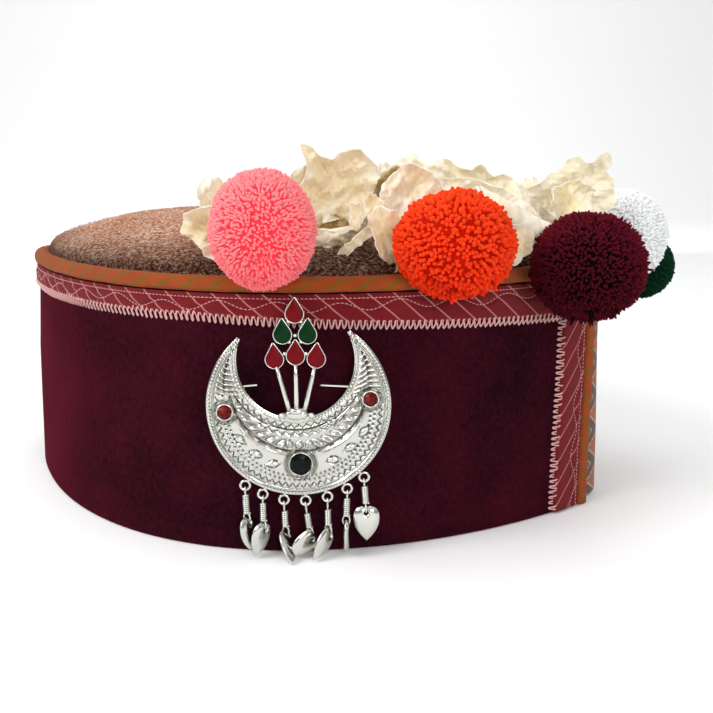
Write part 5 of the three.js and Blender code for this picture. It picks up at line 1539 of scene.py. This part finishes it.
class CAP_OT_brooch_plate(bpy.types.Operator):
    """Makes the pressed silver crescent with its beaded edges, bezels and rings"""

    bl_idname = "cap.brooch_plate"
    bl_label = "Brooch plate"

    def execute(self, context):
        brooch = Brooch()
        metal = silver_finish("pressed_silver_wash", 0.14)
        left, right = brooch.horn(1), brooch.horn(-1)
        a = np.linspace(0, 1, 560)  # from horn to horn
        b = np.linspace(0, 1, 70)  # from the rim to the mouth
        outer = np.radians(left[0] + a * (360 + right[0] - left[0]))
        inner = np.radians(left[1] - 360 + a * (right[1] - left[1] + 360))
        start = np.stack([np.cos(outer), np.sin(outer)], 1) * brooch.outer
        end = np.stack([np.cos(inner), np.sin(inner)], 1) * brooch.inner + MOUTH
        flat = start[:, None] * (1 - b)[None, :, None] + end[:, None] * b[None, :, None]
        height, hollow = relief(brooch, flat[..., 0], flat[..., 1])
        front = np.concatenate([flat, (PLATE / 2 + height)[..., None]], -1)
        rear = flat[:, ::-1][:, ::14]
        back = np.concatenate([rear, np.full((*rear.shape[:2], 1), -PLATE / 2)], -1)
        plate = skin("plate", np.concatenate([front, back], 1))
        mark(plate, "hollow", np.concatenate([hollow, np.zeros(rear.shape[:2])], 1))
        parts = [turn_outwards(plate)]
        parts[0].set_sharp_from_angle(angle=math.radians(50))
        for degrees, reach, radius, collar in STONES:
            parts.append(self.bezel(brooch.on_plate(degrees, reach), radius, collar))
        parts += self.spray(brooch)
        for row in HANGING:
            at = brooch.ring_at(row[0])
            wire = circle(10)
            r, z = RING + RING_WIRE / 2 * np.cos(wire), RING_WIRE / 2 * np.sin(wire)
            parts.append(turned_ring("torus", (*at, 0), r, z, 36))
            unit = at / np.hypot(*at)
            near, far = unit * (brooch.outer - 0.6), at - unit * RING
            parts.append(tapered(np.append(near, 0), np.append(far, 0), 0.62, 0.5))
        for mesh in parts:
            brooch.put(mesh)
        made = merged("silver_plate", parts)
        dress(made, metal, "silver", "brooch_body")

        lines = []
        for inset, centre, radius, turn in (
            (BEAD_INSET, np.zeros(2), brooch.outer, outer), (-BEAD_INSET, MOUTH, brooch.inner, inner),
        ):
            ring = np.stack([np.cos(turn), np.sin(turn)], 1) * (radius - inset) + centre
            lines.append(
                (np.column_stack([ring[6:-6], np.full(len(ring) - 12, PLATE / 2 + 0.55)]), False)
            )
        beads = place_object("beaded_edges", brooch.put(paths_mesh("beaded_edges", lines)))
        through_tree(beads, bead_tree(), Pitch=BEAD_PITCH, Bead_radius=BEAD_RADIUS, Finish=metal)
        dress(beads, None, "silver")
        dress_cad("brooch_pin", silver_finish("steel_pin_wire", 0.12))
        return {"FINISHED"}

    def bezel(self, at, radius, share):
        """A collar of rolled silver round a stone. share scales its width."""
        profile = [
            (0.1, -0.1), (1.1, -0.1), (1.0, 0.35), (0.8, 0.8), (0.6, 1.2), (0.4, 1.35), (0.15, 1.25),
            (0.1, 0.4),
        ]
        out, z = np.array(profile).T
        return turned_ring("bezel", (*at, PLATE / 2), radius + out * share, z, 40)

    def spray(self, brooch):
        """The stems, settings and foot of the spray."""
        parts = []
        for start, end in STEMS:
            low, high = (np.append(brooch.in_spray(*place), SPRAY_LEVEL) for place in (start, end))
            parts.append(tapered(low, high, 0.85, 0.6))
        for _, *place in DROPS:
            wire = tube_round(drop_outline(brooch.drop * [1, 1.05], 0.28), 0.26)
            outline = drop_outline(brooch.drop, 0.5)
            back = stacked("slab", np.stack([outline, outline]), (-0.6, 0.0))
            for mesh in (wire, back):
                mesh.transform(brooch.drop_at(*place))
                parts.append(mesh)
        for across, up in (
            (-0.52, 2.44), (0.54, 2.44), (0, 3.11), (-0.32, 3.62), (0.3, 3.62), (-0.3, 2.88),
            (0.3, 2.88),
        ):
            parts.append(ball((*brooch.in_spray(across, up), SPRAY_LEVEL - 0.15), 0.62))
        for across in (-0.71, 0.78):
            parts.append(ball((*brooch.in_spray(across, 0.13), PLATE / 2 + 0.75), 1.05))
        for share, height in ((1.0, 0.5), (0.8, 1.1), (0.55, 1.6)):  # a stepped mound at the stems' foot
            at = brooch.in_spray(0.03, 0.05 + (1 - share) * 0.55)
            mound = ball((0, 0, 0), 1)
            size = Matrix.Diagonal((4.3 * share, 2.2 * share, height, 1))
            mound.transform(Matrix.Translation((*at, PLATE / 2 + height * 0.3)) @ size)
            parts.append(mound)
        return parts


def ball(at, radius):
    points = sphere(18, 10) * radius + np.array(at)
    return turn_outwards(skin("ball", points, close_u=True, close_v=False))


def turned_ring(name, at, r, z, turns):
    """A closed profile of radii r and heights z, turned round an upright axis at a point."""
    q = circle(turns)[:, None]
    points = np.stack(np.broadcast_arrays(np.cos(q) * r, np.sin(q) * r, z), -1) + np.array(at)
    return turn_outwards(skin(name, points, close_u=True))


def tapered(start, end, first, last):
    """A round bar between two points with its own radius at each."""
    way = (end - start) / np.linalg.norm(end - start)
    side = np.cross(way, [0, 0, 1.0])
    side /= np.linalg.norm(side)
    q = circle(12)[:, None]
    rim = np.cos(q) * side + np.sin(q) * np.cross(way, side)
    share = np.linspace(0, 1, 5)[:, None, None]
    bar = start + (end - start) * share + (first + (last - first) * share) * rim
    return turn_outwards(skin("bar", bar))


def drop_outline(size, inset):
    """Points round a drop with its point up, inset millimetres inside its edge."""
    radius = size[0] / 2 - inset
    middle = size[0] / 2 - size[1] / 2
    tip = size[1] / 2 - inset * 1.5
    shoulder = math.asin(min(1, radius / (tip - middle)))
    low = np.linspace(math.pi - shoulder, 2 * math.pi + shoulder, 40)
    ring = [(radius * math.cos(q), middle + radius * math.sin(q)) for q in low]
    last, first = np.array(ring[-1]), np.array(ring[0])
    point = np.array([0, tip])
    ring += [tuple(last + (point - last) * k) for k in (0.33, 0.66, 0.93)]
    ring += [tuple(point + (first - point) * k) for k in (0.07, 0.34, 0.67)]
    return np.array(ring)


def tube_round(outline, wire):
    """A wire bent round a flat outline."""
    way = np.roll(outline, -1, 0) - np.roll(outline, 1, 0)
    way /= np.linalg.norm(way, axis=1, keepdims=True)
    out = np.stack([way[:, 1], -way[:, 0]], 1)
    q = circle(8)
    flat = outline[:, None] + out[:, None] * (np.cos(q) * wire)[None, :, None]
    z = np.broadcast_to(np.sin(q) * wire * 1.5, flat.shape[:2])
    return turn_outwards(skin("wire", np.concatenate([flat, z[..., None]], -1), close_u=True))


def stacked(name, outlines, heights):
    """A capped solid through flat outlines, each at its own height."""
    z = np.broadcast_to(np.array(heights)[:, None], outlines.shape[:2])
    return turn_outwards(skin(name, np.concatenate([outlines, z[..., None]], -1)))


POOL_SHARES = np.array([1.0, 1.0, 0.92, 0.75, 0.5, 0.25, 0.02])  # of the way out to the setting's edge
POOL_HEIGHTS = [0.0, 0.42, 0.56, 0.68, 0.76, 0.8, 0.8]


class CAP_OT_enamel(bpy.types.Operator):
    """Fills the settings of the spray with enamel and dresses the stones"""

    bl_idname = "cap.enamel"
    bl_label = "Enamel and stones"

    def execute(self, context):
        brooch = Brooch()
        red = [drop for drop in DROPS if "upper" not in drop[0]]
        green = [drop for drop in DROPS if "upper" in drop[0]]
        for colour, drops, body, deep in (
            ("red", red, "#780410", "#4e0208"), ("green", green, "#00330f", "#00200a"),
        ):
            meshes = []
            for _, *place in drops:
                outline = drop_outline(brooch.drop * [1, 1.05], 0.42)
                middle = np.array([0, -0.8])
                flat = middle + (outline - middle)[None] * POOL_SHARES[:, None, None]
                meshes.append(brooch.put(stacked("enamel", flat, POOL_HEIGHTS), brooch.drop_at(*place)))
            made = merged(f"{colour}_enamel_drops", meshes)
            finish = enamel_finish(f"{colour}_enamel", body, deep)
            dress(made, finish, f"{colour}_enamel", *[drop[0] for drop in drops])
        ruby = stone_finish("foiled_ruby_glass", "#420508", "#8e1f16")
        emerald = stone_finish("foiled_emerald_glass", "#000302", "#03180f")
        for node, finish in (
            ("ruby_glass_left", ruby), ("ruby_glass_right", ruby), ("emerald_glass", emerald),
        ):
            dress_cad(node, finish)
        return {"FINISHED"}


class CAP_OT_hanging_hearts(bpy.types.Operator):
    """Makes the bound wire links and the pressed hearts"""

    bl_idname = "cap.hanging_hearts"
    bl_label = "Hanging hearts"

    def execute(self, context):
        brooch = Brooch()
        wires, hearts = [], []
        for at, reach, wrap, loop, sway, turn, lean, roll in HANGING:
            x, y = brooch.ring_at(at)
            hang = Matrix.Translation((x, y - RING, 0)) @ Matrix.Rotation(math.radians(sway), 4, "Z")
            reach, wrap, loop = reach * LINK_REACH, wrap * LINK_BINDING, loop * LOOP_LENGTH
            passes = RING_WIRE / 2 + LINK_WIRE / 2 + LINK_SLACK
            q = circle(24)
            half = (passes + reach) / 2
            upper = np.stack([q * 0, passes - half + np.cos(q) * half, np.sin(q) * LINK_LOOP], 1)
            wrap_top = -reach + 0.1
            face = math.radians(turn)
            low = wrap_top - wrap - loop / 2 + 0.15
            flat = np.sin(q) * LINK_LOOP
            lower = np.stack(
                [flat * math.sin(face), low + np.cos(q) * loop / 2, flat * math.cos(face)], 1,
            )
            turns = round(wrap / 0.62)
            p = np.linspace(0, turns * 2 * np.pi, turns * 12)
            helix = WRAP_RADIUS + 0.12 - LINK_WIRE / 2
            coil = np.stack([np.cos(p) * helix, wrap_top - p / p[-1] * wrap, np.sin(p) * helix], 1)
            core = np.array([[0, wrap_top + 0.2, 0], [0, wrap_top - wrap - 0.2, 0]])
            for chain, closed in ((upper, True), (lower, True), (coil, False), (core, False)):
                place = brooch.matrix @ hang
                wires.append(([tuple(place @ Vector(point)) for point in chain], closed))
            length = reach - 0.1 + wrap + loop - 0.15
            pose = (
                Matrix.Translation((0, -length, 0)) @ Matrix.Rotation(math.radians(-lean), 4, "X")
                @ Matrix.Rotation(math.radians(roll), 4, "Z") @ Matrix.Rotation(face, 4, "Y")
            )
            hearts.append(brooch.put(heart_mesh(brooch.heart), hang @ pose))
        links = place_object("bound_wire_links", paths_mesh("bound_wire_links", wires))
        wire = silver_finish("drawn_silver_wire", 0.16)
        through_tree(links, thread_tree(), Radius=LINK_WIRE / 2 * MM, Sides=8, Finish=wire)
        dress(links, None, "silver", *[f"link_{i}" for i in range(1, 8)])
        made = merged("pressed_silver_hearts", hearts)
        sheet = silver_finish("polished_silver_sheet", 0.08)
        dress(made, sheet, "silver", *[f"heart_{i}" for i in range(1, 8)])
        return {"FINISHED"}


def heart_mesh(size):
    """A puffed heart with its hole at the origin."""
    half, length = size[0] / 2, size[1]
    top = 1.9
    tip = top - length

    def bend(points, count):
        t = np.linspace(0, 1, count, endpoint=False)[:, None]
        a, b, c, d = (np.array(p) for p in points)
        return (1 - t) ** 3 * a + 3 * (1 - t) ** 2 * t * b + 3 * (1 - t) * t**2 * c + t**3 * d

    right = [(0, top - 0.2), (half * 0.5, top + 0.35), (half, top - 0.4), (half, top - length * 0.33)]
    down = [
        (half, top - length * 0.33), (half, top - length * 0.66), (half * 0.42, tip + 1.5), (0, tip),
    ]
    one = np.concatenate([bend(right, 14), bend(down, 18)])
    other = (one * [-1, 1])[::-1]
    outline = np.concatenate([one, [[0, tip]], other[:-1]])
    around = np.arctan2(outline[:, 0], outline[:, 1])
    hole = np.stack([np.sin(around), np.cos(around)], 1) * 0.75
    shares = np.array([0, 0.12, 0.3, 0.5, 0.68, 0.82, 0.92, 0.98, 1.0])
    flat = hole[None] + (outline - hole)[None] * shares[:, None, None]
    # the face is flat in the middle and falls off over the last stretch before the edge
    gap = np.linalg.norm(flat - outline[None], axis=2)
    dip = 1 - np.exp(-np.linalg.norm(flat - hole[None], axis=2) / 0.5) * 0.15
    dome = 0.2 + (1 - np.exp(-gap)) * dip
    front = np.concatenate([flat, dome[..., None]], -1)
    back = np.concatenate([flat, -dome[..., None] * 0.7], -1)[::-1]
    return turn_outwards(skin("heart", np.concatenate([front, back]), close_u=True))


class CAP_OT_studio_stage(bpy.types.Operator):
    """Sets up the pale floor, the lights and the camera"""

    bl_idname = "cap.studio_stage"
    bl_label = "Studio stage"

    def execute(self, context):
        scene = context.scene
        plan = cap_plan()
        middle = Vector((plan.centre[0], plan.centre[1], 0)) * MM
        bend = np.linspace(0.1, math.pi / 2, 10)
        profile = [(-3.0, 0.0), (1.2, 0.0)]
        profile += [(1.2 + 0.8 * math.sin(q), 0.8 - 0.8 * math.cos(q)) for q in bend]
        profile += [(2.0, 3.0)]
        points = np.array([[(x, y, z) for y, z in profile] for x in (-3.5, 3.5)])
        sweep = place_object("sweep", skin("sweep", points, close_v=False))
        paper = finish_named("white_paper_sweep")[0]
        sweep.data.materials.append(shade(paper, Base_Color=linear("#f6f6f6"), Roughness=0.9))
        sweep.data.flip_normals()

        world = bpy.data.worlds.new("soft_room")
        world.use_nodes = True
        room = world.node_tree
        room.nodes.clear()
        way = add(room, "ShaderNodeSeparateXYZ", {0: coordinates(room, "Generated")})
        greys = [(0.0, "#9c9c9c"), (0.22, "#a8a8aa"), (0.5, "#f4f4f6"), (1.0, "#ffffff")]
        walls = ramp(room, way.outputs["Z"], greys)
        light = add(room, "ShaderNodeBackground", {"Color": walls, "Strength": 0.78})
        add(room, "ShaderNodeOutputWorld", {"Surface": light.outputs[0]})
        scene.world = world
        for name, place, size, power in (
            ("window", (-0.95, -0.55, 0.85), 0.7, 10.0),
            ("fill", (0.35, -1.25, 0.55), 0.7, 6.5),
            ("top", (-0.1, 0.1, 1.3), 1.0, 4.5),
            ("backdrop", (0.0, 0.55, 0.5), 1.2, 7.0),
        ):
            lamp = bpy.data.lights.new(name, "AREA")
            lamp.shape = "DISK"
            lamp.size = size
            lamp.energy = power
            holder = place_object(name, lamp)
            holder.location = middle + Vector(place)
            target = Vector((0, 2.0, 0.9)) if name == "backdrop" else Vector((0, 0, 0.04))
            aim = middle + target - holder.location
            holder.rotation_euler = aim.to_track_quat("-Z", "Y").to_euler()

        data = bpy.data.cameras.new("photo_camera")
        data.lens = 46.47
        data.sensor_width = 36.0
        camera = place_object("photo_camera", data)
        camera.location = middle + Vector((0.08, -349.6, 120.35)) * MM
        camera.rotation_euler = (math.radians(90 - 12.79), 0, math.radians(-3.65))
        scene.camera = camera
        scene.view_settings.view_transform = "Standard"
        return {"FINISHED"}


OPERATORS = (
    CAP_OT_studio_stage, CAP_OT_wool_wall, CAP_OT_crown, CAP_OT_velvet_band, CAP_OT_red_trim,
    CAP_OT_orange_binding, CAP_OT_woven_panel, CAP_OT_pompoms, CAP_OT_flower_garland,
    CAP_OT_brooch_plate, CAP_OT_enamel, CAP_OT_hanging_hearts,
)
GROUPS = {
    "cap_sizes": CapSizes, "cloth_colours": ClothColours, "pompom_sizes": PompomSizes,
    "brooch_sizes": BroochSizes,
}


class CAP_PT_panel(bpy.types.Panel):
    """Lists the cap's pieces and sizes"""

    bl_idname = "CAP_PT_panel"
    bl_label = "Himachali Cap"
    bl_space_type = "VIEW_3D"
    bl_region_type = "UI"
    bl_category = "Cap"

    def draw(self, context):
        for name, group in GROUPS.items():
            box = self.layout.box()
            for key in group.__annotations__:
                box.prop(getattr(context.scene, name), key)
        for operator in OPERATORS:
            self.layout.operator(operator.bl_idname)


def register():
    for name, group in GROUPS.items():
        bpy.utils.register_class(group)
        setattr(bpy.types.Scene, name, PointerProperty(type=group))
    for operator in OPERATORS:
        bpy.utils.register_class(operator)
    bpy.utils.register_class(CAP_PT_panel)


def unregister():
    bpy.utils.unregister_class(CAP_PT_panel)
    for operator in reversed(OPERATORS):
        bpy.utils.unregister_class(operator)
    for name, group in reversed(GROUPS.items()):
        delattr(bpy.types.Scene, name)
        bpy.utils.unregister_class(group)


def main():
    register()
    for operator in OPERATORS:
        getattr(bpy.ops.cap, operator.bl_idname.split(".")[1])()


if __name__ == "__main__":
    main()
